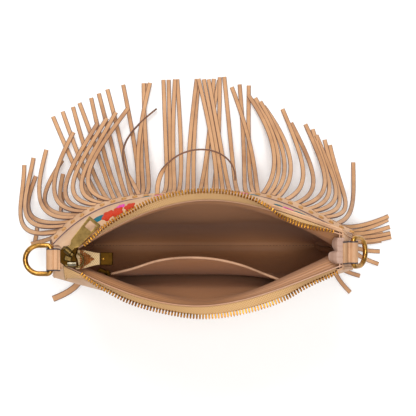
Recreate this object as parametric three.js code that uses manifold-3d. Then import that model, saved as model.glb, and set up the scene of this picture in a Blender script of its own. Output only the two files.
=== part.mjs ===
// Fringed zip-top handbag, standing with its mouth pulled open.
// Millimetres, +Z up, the fringed front faces -Y, the zip slider is at the +X end.
// The origin is the middle of the base on the table.
import * as THREE from 'three';
import { mergeVertices } from 'three/addons/utils/BufferGeometryUtils.js';
import Module from 'manifold-3d';

const wasm = await Module();
wasm.setup();
const { lerp, clamp, smoothstep, degToRad } = THREE.MathUtils;

const GAP = 0.3;
const RIM_Z = 180;
const LEATHER = 2;
const CLOTH = 1;
const SIDE_SEAM = 0.15;
const END_STRIP_FROM = 0.94;

const named = (columns, rows) => rows.map(
  (row) => Object.fromEntries(columns.map((name, i) => [name, row[i]])),
);

const SECTION = [
  'z', 'half', 'front', 'back', 'endL', 'endR', 'midL', 'midR', 'fullF', 'fullB', 'skewF',
];

// Leather body: half length, depth to front and back, half width and middle of both ends, how full
// the front and the back are, and how much fuller the front is towards the slider end.
const BODY = named(SECTION, [
  [0, 128, 22, 22, 12, 12, 0, 0, 5, 5, 0],
  [5, 133, 27, 27, 13, 13, 0, 0, 5, 5, 0],
  [14, 136, 30, 30, 13, 13, 0, 0, 4.6, 4.6, 0],
  [60, 138, 36, 35, 12, 12, 0, 0, 3.4, 3.1, 0],
  [110, 139, 46.5, 41, 13, 11, 4, 0, 2.2, 2, 0.7],
  [150, 138, 58, 41.5, 13.2, 14.5, 10, 1.2, 1.4, 0.95, 0.58],
  [168, 130.5, 53.5, 48.3, 8.5, 15, 4.5, -1.5, 1.15, 1.05, 0.35],
  [RIM_Z, 124, 52.5, 48.5, 7, 17, 6, -3.5, 0.95, 0.95, 0],
]);

// Lining sack, with the crease of its facing under the back rim at 152.
const SACK = named(SECTION, [
  [3.4, 123, 18, 18, 9, 9, 0, 0, 5, 5, 0],
  [14, 132, 26, 26, 9, 9, 0, 0, 4.4, 4.4, 0],
  [60, 134, 31, 31, 8, 8, 0, 0, 3.4, 3.4, 0],
  [110, 134, 36, 37, 7, 8, 1, 0, 2.5, 2.4, 0],
  [152, 123, 44.5, 43.5, 4.5, 3, 4, -2, 1.2, 0.92, 0],
  [RIM_Z, 120.2, 48.6, 44.6, 3.3, 13.2, 6, -3.5, 0.95, 0.95, 0],
]);
const SACK_HEIGHTS = [3.4, 14, 60, 110, 136, 152, RIM_Z];
const SACK_AROUND = 36;

function rowAt(rows, key, value) {
  let i = 1;
  while (i < rows.length - 1 && rows[i][key] < value) {
    i += 1;
  }
  const low = rows[i - 1];
  const high = rows[i];
  const before = rows[Math.max(i - 2, 0)];
  const after = rows[Math.min(i + 1, rows.length - 1)];
  const step = high[key] - low[key];
  const t = clamp((value - low[key]) / step, 0, 1);
  const row = {};
  for (const name of Object.keys(low)) {
    const slopeLow = (high[name] - before[name]) / (high[key] - before[key]);
    const slopeHigh = (after[name] - low[name]) / (after[key] - low[key]);
    const rise = high[name] - low[name];
    row[name] = low[name] + t * t * (3 - 2 * t) * rise
      + step * t * (1 - t) * ((1 - t) * slopeLow - t * slopeHigh);
  }
  return row;
}

function planPoint(section, side, along) {
  const reach = Math.min(Math.abs(along) / END_STRIP_FROM, 1);
  const q = Math.sin(reach * Math.PI / 2) * Math.sign(along);
  const end = lerp(section.endR, section.endL, (q + 1) / 2);
  const middle = lerp(section.midR, section.midL, (q + 1) / 2);
  const depth = side < 0 ? section.front : section.back;
  const full = side < 0 ? section.fullF + section.skewF * q : section.fullB;
  const swell = Math.cos(Math.PI / 2 * Math.abs(q) ** full);
  const past = Math.max(Math.abs(along) - END_STRIP_FROM, 0) / (1 - END_STRIP_FROM);
  const depthHere = lerp(end + (depth - end) * swell, SIDE_SEAM, past);
  return new THREE.Vector2(section.half * q, middle + side * depthHere);
}

function planNormal(section, side, along) {
  const NUDGE = 0.004;
  const ahead = planPoint(section, side, Math.min(along + NUDGE, 1));
  const behind = planPoint(section, side, Math.max(along - NUDGE, -1));
  const run = ahead.sub(behind).normalize();
  return new THREE.Vector2(-side * run.y, side * run.x);
}

function shell(rows, side, along, z, out) {
  const section = rowAt(rows, 'z', z);
  const point = planPoint(section, side, along);
  const normal = planNormal(section, side, along);
  return new THREE.Vector3(point.x + normal.x * out, point.y + normal.y * out, z);
}

// Leather walls are flat between these lines, and what lies on them follows the same flats.
const WALL_HEIGHTS = [0, 6, 15, 60, 110, 150, 166, RIM_Z];
const WALL_ACROSS = 24;

function wallPoint(side, along, z, out) {
  const cell = clamp(Math.floor((along + 1) / 2 * WALL_ACROSS), 0, WALL_ACROSS - 1);
  const left = cell / WALL_ACROSS * 2 - 1;
  const right = (cell + 1) / WALL_ACROSS * 2 - 1;
  const across = (along - left) / (right - left);
  let row = 1;
  while (row < WALL_HEIGHTS.length - 1 && WALL_HEIGHTS[row] < z) {
    row += 1;
  }
  const low = WALL_HEIGHTS[row - 1];
  const rise = (z - low) / (WALL_HEIGHTS[row] - low);
  const [bottom, top] = [low, WALL_HEIGHTS[row]].map((height) => shell(BODY, side, left, height, out)
    .lerp(shell(BODY, side, right, height, out), across));
  return bottom.lerp(top, rise);
}

const alongAtX = (x, half) => Math.asin(clamp(x / half, -1, 1)) / (Math.PI / 2) * END_STRIP_FROM;

function closed(geometry) {
  geometry.deleteAttribute('normal');
  geometry.deleteAttribute('uv');
  const welded = mergeVertices(geometry, 1e-4);
  const p = welded.attributes.position;
  const index = welded.index.array;
  let volume = 0;
  for (let i = 0; i < index.length; i += 3) {
    const [a, b, c] = [0, 1, 2].map((k) => new THREE.Vector3().fromBufferAttribute(p, index[i + k]));
    volume += a.dot(b.cross(c));
  }
  if (volume < 0) {
    for (let i = 0; i < index.length; i += 3) {
      [index[i], index[i + 1]] = [index[i + 1], index[i]];
    }
  }
  return welded;
}

// A block of unit size, divided across and along, whose corners are all put in place by a function.
function sheet(across, along, place) {
  const geometry = new THREE.BoxGeometry(1, 1, 1, across, along, 1);
  const p = geometry.attributes.position;
  for (let i = 0; i < p.count; i += 1) {
    const point = place(p.getX(i) + 0.5, p.getY(i) + 0.5, p.getZ(i) + 0.5);
    p.setXYZ(i, point.x, point.y, point.z);
  }
  return closed(geometry);
}

// A three-sided bar, divided along, whose corners are all put in place by a function.
function prism(along, place) {
  const geometry = new THREE.CylinderGeometry(1, 1, 1, 3, along);
  const p = geometry.attributes.position;
  for (let i = 0; i < p.count; i += 1) {
    const [x, y, z] = [p.getX(i), p.getY(i), p.getZ(i)];
    const corner = Math.round(Math.atan2(x, z) / (Math.PI * 2 / 3) + 3) % 3;
    const point = Math.hypot(x, z) < 0.5
      ? place(y + 0.5, 1).lerp(place(y + 0.5, 2), 0.5)
      : place(y + 0.5, corner);
    p.setXYZ(i, point.x, point.y, point.z);
  }
  return closed(geometry);
}

function solid(geometry) {
  const whole = closed(geometry);
  return new wasm.Manifold(new wasm.Mesh({
    numProp: 3,
    vertProperties: new Float32Array(whole.attributes.position.array),
    triVerts: new Uint32Array(whole.index.array),
  }));
}

function fused(geometries) {
  const mesh = wasm.Manifold.union(geometries.map(solid)).getMesh();
  const geometry = new THREE.BufferGeometry();
  geometry.setAttribute('position', new THREE.BufferAttribute(mesh.vertProperties, 3));
  geometry.setIndex(new THREE.BufferAttribute(mesh.triVerts, 1));
  return geometry;
}

const LOOK = {
  leather: { color: 0xdfb188, roughness: 0.6, metalness: 0 },
  lining: { color: 0x83654f, roughness: 0.9, metalness: 0 },
  zipTape: { color: 0xdcb878, roughness: 0.85, metalness: 0 },
  brass: { color: 0xc89a4a, roughness: 0.35, metalness: 1 },
  antiqueBrass: { color: 0x8c7846, roughness: 0.4, metalness: 1 },
};

const bag = new THREE.Group();
bag.name = 'fringed_handbag';

function add(name, look, geometry) {
  geometry.computeVertexNormals();
  const mesh = new THREE.Mesh(geometry, new THREE.MeshStandardMaterial(LOOK[look]));
  mesh.name = name;
  bag.add(mesh);
}

// Leather walls and base.
function wallPanel(side) {
  const rows = WALL_HEIGHTS.length - 1;
  return sheet(WALL_ACROSS, rows, (u, v, w) => shell(
    BODY, side, lerp(-1, 1, u), WALL_HEIGHTS[Math.round(v * rows)], -LEATHER * w,
  ));
}

add('front_panel', 'leather', wallPanel(-1));
add('back_panel', 'leather', wallPanel(1));

const BASE_STEPS = 20;
const baseOutline = [-1, 1].flatMap((side) => Array.from({ length: BASE_STEPS }, (_, i) => {
  const along = side * lerp(1, -1, i / BASE_STEPS);
  const edge = shell(BODY, side, along, 0, -LEATHER - GAP);
  return new THREE.Vector2(edge.x, edge.y);
}));
add('base_panel', 'leather', new THREE.ExtrudeGeometry(
  new THREE.Shape(baseOutline), { depth: LEATHER, bevelEnabled: false },
));

// Yoke over the top of the front; its painted lower edge dips towards the middle.
const YOKE_THICK = 1.6;
const YOKE_ACROSS = WALL_ACROSS - 4;
const YOKE_REACH = YOKE_ACROSS / WALL_ACROSS;
const LAID_ON = 0.6;
const YOKE_TOP = RIM_Z - 1.5;
const YOKE_END_Z = 151;
const YOKE_DIP = 13;
const yokeEdge = (along) => YOKE_END_Z - YOKE_DIP * Math.cos(along * Math.PI / 2);

add('front_yoke', 'leather', sheet(YOKE_ACROSS, 3, (u, v, w) => {
  const along = lerp(-YOKE_REACH, YOKE_REACH, u);
  const edge = yokeEdge(along);
  const heights = [edge, Math.max(edge + 1, WALL_HEIGHTS[5]), WALL_HEIGHTS[6], YOKE_TOP];
  return wallPoint(-1, along, heights[Math.round(v * 3)], LAID_ON + YOKE_THICK * w);
}));

// Fringe: a flared band below the yoke edge and its strips. Each row is one lock of strips, laid from
// its first strip to its last: where they leave the band, tips on the table, heading of the tips and
// leaving direction as degrees turned from -Y towards +X, how far a strip leaves and drops, how long
// it lies straight, how high its tip lies, and 1 where it stands on edge.
const STRIP_WIDE = 4.6;
const FIRST_WIDE = 6.8;
const STRIP_THICK = 1.4;
const STRIP_STEPS = 5;
const BAND_HIGH = 11;
const BAND_FLARE = 5.5;
const BAND_THICK = 1.9;
const BAND_HALF = rowAt(BODY, 'z', YOKE_END_Z - BAND_HIGH).half;
const TABLE_LIFT = 1;
const FACE_UP_FROM = 0.05;
const FACE_UP_BY = 0.55;
const ON_EDGE_BY = 0.3;
const SWAY = { turn: 2.4, aside: 1.6, head: 4, over: 1.5, layer: 0.8 };
const LOCKS = named(
  ['count', 'rootX0', 'rootX1', 'tipX0', 'tipY0', 'tipX1', 'tipY1', 'head0', 'head1', 'leave0', 'leave1',
    'away', 'drop', 'lead', 'lift', 'edge'],
  [
    [1, 135, 135, 167, 60, 167, 60, 111, 111, 115, 115, 41, 130, 80, 0, 0],
    [2, 133, 128, 191, -2, 182, -11, 100, 100, 100, 96, 16, 70, 36, 0, 0],
    [1, 126, 126, 188, -2, 188, -2, 165, 165, 95, 95, 46, 60, 34, 0, 0],
    [2, 131, 126, 199, -88, 189, -96, 0, -8, 100, 98, 58, 24, 46, 0, 0],
    [2, 121, 117, 184, -75, 175, -105, -26, -11, 97, 95, 46, 24, 44, 2, 0],
    [2, 112, 109, 155, -58, 155, -78, -8, -14, 90, 88, 34, 60, 30, 0, 0],
    [2, 113, 109, 157, -94, 142, -123, -30, -32, 92, 90, 46, 26, 50, 4, 0],
    [4, 104, 86, 117, -133, 84, -150, -30, -33, 88, 80, 44, 18, 62, 11, 0],
    [7, 98, 66, 166, -142, 106, -172, 20, 13, 62, 42, 20, 80, 84, 0, 0],
    [1, 60, 60, 53, -151, 53, -151, -48, -48, 34, 34, 46, 84, 66, 2.4, 1],
    [1, 64, 64, 88, -177, 88, -177, 8, 8, 10, 10, 10, 88, 92, 0, 0],
    [3, 53, 62, 67, -178, 58, -178, 2, -18, 4, 8, 10, 88, 92, 1.4, 0],
    [1, 43, 43, -33, -68, -33, -68, 180, 180, 4, 4, 56, 34, 44, 84, 1],
    [4, 37, 24, 44, -182, 28, -183, 0, 0, 0, 0, 8, 96, 96, 0, 0],
    [2, 15.5, 9.5, 9, -183, 6, -183, -5, -5, 0, 0, 8, 96, 96, 0, 0],
    [2, 3, -3, -12, -183, -15, -182, -7, -7, 0, 0, 8, 96, 96, 0, 0],
    [3, -13, -25, 5, -183, -4, -182, 11, 13, 0, 0, 8, 96, 96, 2, 0],
    [2, -10, -32, -19, -185, -21, -185, -4, 9, 0, -4, 8, 96, 96, 1, 0],
    [1, -51, -51, -31, -174, -31, -174, 20, 20, -6, -6, 14, 90, 80, 2, 0],
    [2, -40, -47, -40, -177, -48, -176, 3, 3, -4, -6, 10, 90, 90, 0, 0],
    [4, -55, -68, -50, -165, -67, -153, 31, 33, -44, -56, 26, 50, 66, 5, 0],
    [2, -76, -84, -85, -149, -97, -135, 27, 25, -66, -72, 34, 44, 62, 1, 0],
    [5, -90, -112, -112, -133, -139, -110, 24, 12, -76, -86, 40, 40, 58, 0, 0],
    [1, -122, -122, -166, -91, -166, -91, -2, -2, -80, -80, 26, 40, 36, 0, 0],
    [5, -120, -132, -203, -33, -207, -7, -62, -79, -70, -84, 10, 112, 62, 0, 0],
    [4, -126, -133, -197, -16, -193, 20, -68, -104, -78, -96, 13, 112, 50, 0, 0],
    [2, -134, -135, -172, 36, -162, 52, -108, -132, -124, -128, 26, 130, 60, 0, 0],
  ],
);
const turned = (degrees) => new THREE.Vector3(
  Math.sin(degToRad(degrees)), -Math.cos(degToRad(degrees)), 0,
);

function strip(lock, share, place) {
  const between = (name) => lerp(lock[`${name}0`], lock[`${name}1`], share);
  const wide = place ? STRIP_WIDE : FIRST_WIDE;
  const sway = Math.sin(place * SWAY.turn);
  const head = between('head') + SWAY.head * sway;
  const along = alongAtX(between('rootX'), BAND_HALF);
  const rootZ = yokeEdge(along) - BAND_HIGH + STRIP_THICK;
  const rootOut = LAID_ON + BAND_FLARE + place % 2 * SWAY.layer;
  const root = wallPoint(-1, along, rootZ, rootOut);
  const flat = planNormal(rowAt(BODY, 'z', rootZ), -1, along);
  const facing = new THREE.Vector3(flat.x * BAND_HIGH, flat.y * BAND_HIGH, BAND_FLARE).normalize();
  const tip = new THREE.Vector3(between('tipX'), between('tipY'), TABLE_LIFT + lock.lift);
  tip.addScaledVector(turned(head + 90), SWAY.aside * sway);
  tip.z += place % 2 * SWAY.over;
  const hang = root.clone().addScaledVector(turned(between('leave')), lock.away);
  hang.z -= lock.drop;
  const lie = tip.clone().addScaledVector(turned(head), -lock.lead);
  const path = new THREE.CubicBezierCurve3(root, hang, lie, tip);
  const up = new THREE.Vector3(0, 0, 1);
  return sheet(1, STRIP_STEPS, (u, v, w) => {
    const t = path.getUtoTmapping(v);
    const point = path.getPoint(t);
    const run = path.getTangent(t);
    const face = facing.clone().lerp(up, smoothstep(t, FACE_UP_FROM, FACE_UP_BY));
    const width = face.clone().cross(run).normalize();
    const upright = up.clone().addScaledVector(run, -up.dot(run)).normalize();
    width.lerp(upright, lock.edge * smoothstep(t, 0, ON_EDGE_BY)).normalize();
    const normal = run.clone().cross(width);
    point.addScaledVector(width, (u - 0.5) * wide);
    return point.addScaledVector(normal, (w - 0.5) * STRIP_THICK);
  });
}

const strips = [];
for (const lock of LOCKS) {
  for (let i = 0; i < lock.count; i += 1) {
    const share = lock.count > 1 ? i / (lock.count - 1) : 0;
    strips.push(strip(lock, share, strips.length));
  }
}
const band = sheet(YOKE_ACROSS, 1, (u, v, w) => {
  const along = lerp(-YOKE_REACH, YOKE_REACH, u);
  const z = yokeEdge(along) - lerp(BAND_HIGH, GAP, v);
  return wallPoint(-1, along, z, LAID_ON + BAND_FLARE * (1 - v) + BAND_THICK * w);
});
add('fringe', 'leather', fused([band, ...strips]));

// Lining sack: a turned cup pulled to the shape of the lining sections.
function sackGeometry() {
  const rows = SACK_HEIGHTS.length;
  const profile = Array.from({ length: 2 * rows + 2 }, (_, j) => new THREE.Vector2(1, j));
  const cup = new THREE.LatheGeometry(profile, SACK_AROUND);
  const p = cup.attributes.position;
  for (let k = 0; k < p.count; k += 1) {
    const j = k % profile.length;
    const turn = (Math.floor(k / profile.length) % SACK_AROUND) / SACK_AROUND;
    const side = turn < 0.5 ? -1 : 1;
    const along = side * lerp(-1, 1, (turn % 0.5) * 2);
    const inside = j > rows;
    const row = inside ? 2 * rows - j : j - 1;
    const lowest = inside ? SACK_HEIGHTS[0] + CLOTH : SACK_HEIGHTS[0];
    if (j === 0 || j === profile.length - 1) {
      p.setXYZ(k, 0, 0, lowest);
    } else {
      const point = shell(SACK, side, along, SACK_HEIGHTS[row], inside ? -CLOTH : 0);
      p.setXYZ(k, point.x, point.y, row === 0 ? lowest : point.z);
    }
  }
  return closed(cup);
}
add('lining', 'lining', sackGeometry());

// Two lobes of lining that lie over the rim at the far end of the mouth and droop into it.
const FLAP_X = -126;
const FLAP_BEND_X = -118.7;
const FLAP_Z = RIM_Z + GAP;
const FLAP_DROOP = 6.5;
const FLAPS = named(['y', 'tipX'], [
  [-14.3, -117.2], [-11.5, -115.2], [-7, -115], [-3.6, -116.6], [-2.4, -117], [-0.8, -112.6], [2, -111.6],
  [5.5, -112.4], [8.2, -116],
]);
add('lining_flaps', 'lining', sheet(16, 2, (u, v, w) => {
  const y = lerp(FLAPS[0].y, FLAPS[FLAPS.length - 1].y, u);
  const rows = [FLAP_X, FLAP_BEND_X, rowAt(FLAPS, 'y', y).tipX];
  const low = v > 0.5 ? FLAP_DROOP : 0;
  return new THREE.Vector3(rows[Math.round(v * 2)], y, FLAP_Z - low + CLOTH * w);
}));

// Slip pocket on the back of the lining and the leather binding of its edge.
const POCKET_TOP = 137;
const POCKET_BOTTOM = 62;
const POCKET_SWELL = 1.4;
const BINDING = 2.6;
const POCKET = named(['x', 'y'], [
  [-72, 27], [-58, 21.5], [-34, 12.5], [-8, 7], [20, 6], [43, 9], [67, 16.5], [86, 21],
]);
const POCKET_FROM = POCKET[0].x;
const POCKET_TO = POCKET[POCKET.length - 1].x;

function pocketMiddle(x, rise) {
  const z = lerp(POCKET_BOTTOM, POCKET_TOP, rise);
  const along = alongAtX(x, rowAt(SACK, 'z', z).half);
  const wall = shell(SACK, 1, along, z, -2 * CLOTH - 2 * GAP);
  const open = Math.min(rowAt(POCKET, 'x', x).y, wall.y);
  return new THREE.Vector3(x, lerp(wall.y, open, rise ** POCKET_SWELL), z);
}

add('slip_pocket', 'lining', sheet(14, 4, (u, v, w) => {
  const point = pocketMiddle(lerp(POCKET_FROM, POCKET_TO, u), v);
  point.y += (w - 0.5) * CLOTH;
  return point;
}));
add('pocket_binding', 'leather', sheet(14, 1, (u, v, w) => {
  const point = pocketMiddle(lerp(POCKET_FROM, POCKET_TO, u), 1);
  point.y += (w - 0.5) * BINDING;
  point.z += GAP + v * BINDING;
  return point;
}));

const CLIP = { x: 86.3, y: 16.3, z: 138.6, wide: 11, deep: 5, high: 6, turn: -24 };
const clipPlate = new THREE.BoxGeometry(CLIP.wide, CLIP.deep / 2, CLIP.high);
clipPlate.rotateZ(degToRad(CLIP.turn));
clipPlate.translate(CLIP.x + CLIP.wide / 2, CLIP.y + CLIP.deep / 2, CLIP.z);
add('pocket_clip', 'brass', clipPlate);

// Zip: tapes rise between rim and lining and lean out or in along the mouth, loose by a width
// that narrows towards its corners.
const TAPE_THICK = 0.8;
const TAPE_CLEAR = 0.6;
const TAPE_INSET = LEATHER + TAPE_CLEAR + TAPE_THICK / 2;
const TAPE_SEWN = 5;
const TAPE_RISE = 1.4;
const TOOTH_BASE = 1.2;
const TOOTH_LONG = 4;
const TOOTH_THICK = 3;
const TOOTH_COUNT = 56;
const TAPE_STEPS = 26;
const LEAN = ['x', 'angle', 'free'];
const MOUTH = {
  front: {
    side: -1,
    from: -116,
    to: 106.5,
    lean: named(LEAN, [
      [-124, 4, 2.5], [-110, -18, 2.5], [-96, -60, 2.5], [-87, -70, 3], [-78, -66, 2.5], [-70, -44, 2.5],
      [-62, -2, 4], [-51, 22, 6.5], [-33, 44, 7], [1, 53, 7], [40, 58, 7], [61, 40, 7], [77, 31, 7],
      [88, 22, 6.5], [97, 2, 5], [110, -22, 4],
    ]),
  },
  back: {
    side: 1,
    from: -118,
    to: 106.5,
    lean: named(LEAN, [
      [-124, 12, 4], [-113, 22, 5], [-104, 21, 6], [-96, 20, 7], [-83, 32, 7], [-69, 55, 7], [-42, 70, 7],
      [1, 54, 7], [28, 38, 7], [64, 30, 7], [80, 17, 7], [91, 10, 7], [96, 6, 6], [103, -4, 5], [110, -18, 5],
    ]),
  },
};

function freeAt(mouth, share) {
  return rowAt(mouth.lean, 'x', lerp(mouth.from, mouth.to, share)).free;
}

function tapePoint(mouth, share, rise, lift) {
  const x = lerp(mouth.from, mouth.to, share);
  const rim = rowAt(BODY, 'z', RIM_Z);
  const along = alongAtX(x, rim.half);
  const flat = planNormal(rim, mouth.side, along);
  const out = new THREE.Vector3(flat.x, flat.y, 0);
  const lean = degToRad(rowAt(mouth.lean, 'x', x).angle);
  const point = wallPoint(mouth.side, along, RIM_Z + Math.min(rise, 0), -TAPE_INSET);
  point.z += clamp(rise, 0, TAPE_RISE);
  const face = rise > TAPE_RISE ? lean : 0;
  const free = Math.max(rise - TAPE_RISE, 0);
  point.addScaledVector(out, Math.sin(lean) * free + Math.cos(face) * lift);
  point.z += Math.cos(lean) * free - Math.sin(face) * lift;
  return point;
}

for (const [name, mouth] of Object.entries(MOUTH)) {
  add(`zip_tape_${name}`, 'zipTape', sheet(TAPE_STEPS, 3, (u, v, w) => {
    const rises = [-TAPE_SEWN, 0, TAPE_RISE, TAPE_RISE + freeAt(mouth, u)];
    return tapePoint(mouth, u, rises[Math.round(v * 3)], (w - 0.5) * TAPE_THICK);
  }));
  add(`zip_teeth_${name}`, 'brass', prism(2 * TOOTH_COUNT, (u, corner) => {
    const tooth = Math.round(u * 2 * TOOTH_COUNT) % 2 === 1;
    const high = tooth ? TOOTH_LONG : TOOTH_BASE;
    const [rise, lift] = [[high, 0], [0, TOOTH_THICK / 2], [0, -TOOTH_THICK / 2]][corner];
    return tapePoint(mouth, u, TAPE_RISE + freeAt(mouth, u) + GAP + rise, lift);
  }));
}

// Slider with its crown, and the windowed pull that hangs on the crown.
const SLIDER = { x: 116.8, y: 1.5, low: 180.4, high: 187, long: 15.4, wide: 20, plate: 1.6, post: 4 };
const CROWN = { x: 116.8, y: -3, z: 191, bar: 1.2, span: 4.4, leg: 2.8 };
const PULL = {
  head: -40, fall: 14, long: 35.5, wide: 13, waist: 9.4, shoulder: 9, neck: 5.4, thick: 1.6,
  eye: 1.6, barrel: 2.8, window: 7.2, rim: 2.6, top: 2, taper: 3,
};
const crownTurn = degToRad(PULL.head);

function plate(long, wide, thick, z) {
  const geometry = new THREE.BoxGeometry(long, wide, thick);
  geometry.translate(SLIDER.x, SLIDER.y, z);
  return geometry;
}

function crownPart(geometry) {
  geometry.rotateZ(crownTurn);
  geometry.translate(CROWN.x, CROWN.y, CROWN.z);
  return geometry;
}

const crownBar = new THREE.CylinderGeometry(CROWN.bar, CROWN.bar, 2 * CROWN.span, 12);
crownBar.rotateZ(Math.PI / 2);
const crownLegs = [-1, 1].map((side) => {
  const high = CROWN.z + CROWN.leg / 2 - SLIDER.high + SLIDER.plate / 2;
  const leg = new THREE.BoxGeometry(CROWN.leg, CROWN.leg, high);
  leg.translate(side * CROWN.span, 0, (CROWN.leg - high) / 2);
  return crownPart(leg);
});
add('zip_slider', 'antiqueBrass', fused([
  plate(SLIDER.long, SLIDER.wide, SLIDER.plate, SLIDER.low + SLIDER.plate / 2),
  plate(SLIDER.long, SLIDER.wide, SLIDER.plate, SLIDER.high - SLIDER.plate / 2),
  plate(SLIDER.post, SLIDER.post, SLIDER.high - SLIDER.low - SLIDER.plate, (SLIDER.high + SLIDER.low) / 2),
  crownPart(crownBar),
  ...crownLegs,
]));

const pullPlate = new THREE.Shape([
  [PULL.neck / 2, -PULL.top],
  [PULL.neck / 2, PULL.taper - PULL.shoulder],
  [PULL.waist / 2, -PULL.shoulder],
  [PULL.wide / 2, -PULL.long],
  [-PULL.wide / 2, -PULL.long],
  [-PULL.waist / 2, -PULL.shoulder],
  [-PULL.neck / 2, PULL.taper - PULL.shoulder],
  [-PULL.neck / 2, -PULL.top],
].map(([x, y]) => new THREE.Vector2(x, y)));
const windowY = PULL.rim - PULL.long;
pullPlate.holes.push(new THREE.Path([
  [-PULL.window / 2, windowY],
  [PULL.window / 2, windowY],
  [PULL.window / 2, windowY + PULL.window],
  [-PULL.window / 2, windowY + PULL.window],
].map(([x, y]) => new THREE.Vector2(x, y))));
const pullLeaf = new THREE.ExtrudeGeometry(pullPlate, { depth: PULL.thick, bevelEnabled: false });
pullLeaf.translate(0, 0, -PULL.thick / 2);
pullLeaf.rotateX(degToRad(PULL.fall));
const eyeRing = new THREE.Shape();
eyeRing.absarc(0, 0, PULL.barrel, 0, Math.PI * 2, false);
eyeRing.holes.push(new THREE.Path().absarc(0, 0, PULL.eye, 0, Math.PI * 2, false));
const barrel = new THREE.ExtrudeGeometry(eyeRing, {
  depth: PULL.neck, bevelEnabled: false, curveSegments: 6,
});
barrel.translate(0, 0, -PULL.neck / 2);
barrel.rotateY(Math.PI / 2);
add('zip_pull', 'antiqueBrass', crownPart(fused([pullLeaf, barrel])));

// Closed end of the zip, tucked inside below the slider, with its cap and rivet.
const TAIL = { from: 112, to: 92.5, y: 5, high: 179.1, low: 168, wide: 12, end: 10.6, thick: 2 };
const CAP = { long: 11.5, wide: 11.4, thick: 3.2, rivet: 1.5, rivetIn: 3, rivetUp: 0.6 };
add('zip_tail', 'zipTape', sheet(2, 4, (u, v, w) => {
  const wide = lerp(TAIL.wide, TAIL.end, v);
  return new THREE.Vector3(
    lerp(TAIL.from, TAIL.to, v),
    TAIL.y + (u - 0.5) * wide,
    lerp(TAIL.high, TAIL.low, v * (2 - v)) + (w - 0.5) * TAIL.thick,
  );
}));
const capBody = new THREE.BoxGeometry(CAP.long, CAP.wide, CAP.thick);
capBody.translate(TAIL.to - GAP - CAP.long / 2, TAIL.y, TAIL.low);
const rivet = new THREE.CylinderGeometry(CAP.rivet, CAP.rivet, CAP.thick, 12);
rivet.rotateX(Math.PI / 2);
rivet.translate(TAIL.to - GAP - CAP.rivetIn, TAIL.y, TAIL.low + CAP.rivetUp);
add('zip_end_cap', 'brass', fused([capBody, rivet]));

// Leather loops at the two ends and the D-rings that swing in them.
const TAB_WIDE = 20;
const BORE = 2.45;
const TAB_LEATHER = 1.7;
const TAB_FLAT = 1.9;
const TAB_NECK = 0.8;
const TAB_TOP = 176.5;
const RING = { wire: 4.2, bevel: 1.2, wide: 29.5, long: 27 };
const ENDS = named(['name', 'sign', 'y', 'z', 'barX', 'fall'], [
  ['slider_end', 1, 5.5, 170, 136, 0],
  ['far_end', -1, -1, 172, 134, 52],
]);

function tabGeometry(end) {
  const nose = BORE + TAB_LEATHER;
  const [low, high] = WALL_HEIGHTS.slice(-2);
  const [foot, rim] = [low, high].map((z) => rowAt(BODY, 'z', z).half);
  const wallX = (z) => lerp(foot, rim, (end.z + z - low) / (high - low)) + GAP;
  const leaf = TAB_TOP - end.z;
  const profile = new THREE.Shape();
  profile.moveTo(wallX(TAB_FLAT) + TAB_LEATHER, TAB_FLAT);
  profile.lineTo(wallX(leaf) + TAB_LEATHER, leaf);
  profile.lineTo(wallX(leaf), leaf);
  profile.lineTo(wallX(-TAB_FLAT), -TAB_FLAT);
  profile.lineTo(end.barX - nose * TAB_NECK, -TAB_FLAT);
  profile.absarc(end.barX, 0, nose, -Math.PI * TAB_NECK, Math.PI * TAB_NECK, false);
  profile.lineTo(end.barX - nose * TAB_NECK, TAB_FLAT);
  const bore = new THREE.Path();
  bore.absarc(end.barX, 0, BORE, 0, Math.PI * 2, false);
  profile.holes.push(bore);
  const geometry = new THREE.ExtrudeGeometry(profile, {
    depth: TAB_WIDE, bevelEnabled: false, curveSegments: 8,
  });
  geometry.translate(0, 0, -TAB_WIDE / 2);
  geometry.rotateX(Math.PI / 2);
  if (end.sign < 0) {
    geometry.rotateZ(Math.PI);
  }
  geometry.translate(0, end.y, end.z);
  return geometry;
}

function ringOutline(curve, inset) {
  const half = RING.wide / 2 - inset;
  const straight = RING.long - RING.wire / 2 - RING.wide / 2;
  const back = -RING.wire / 2 + inset;
  curve.moveTo(back, -half);
  curve.lineTo(straight, -half);
  curve.absarc(straight, 0, half, -Math.PI / 2, Math.PI / 2, false);
  curve.lineTo(back, half);
  curve.lineTo(back, -half);
  return curve;
}

function ringGeometry(end) {
  const outline = ringOutline(new THREE.Shape(), 0);
  outline.holes.push(ringOutline(new THREE.Path(), RING.wire));
  const geometry = new THREE.ExtrudeGeometry(outline, {
    depth: RING.wire - 2 * RING.bevel,
    bevelThickness: RING.bevel,
    bevelSize: RING.bevel,
    bevelOffset: -RING.bevel,
    bevelSegments: 1,
    curveSegments: 6,
  });
  geometry.translate(0, 0, RING.bevel - RING.wire / 2);
  geometry.rotateY(degToRad(end.fall));
  if (end.sign < 0) {
    geometry.rotateZ(Math.PI);
  }
  geometry.translate(end.sign * end.barX, end.y, end.z);
  return geometry;
}

for (const end of ENDS) {
  add(`tab_${end.name}`, 'leather', tabGeometry(end));
  add(`ring_${end.name}`, 'antiqueBrass', ringGeometry(end));
}

export default bag;
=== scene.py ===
# Fringed zip-top handbag of natural tan leather, standing open on a white table.
# Metres, +Z up, the fringed front faces -Y, the zip slider is at the +X end.
# Tables of sizes are in millimetres.
import math
import random

import bmesh
import bpy
from mathutils import Matrix, Vector


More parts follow.
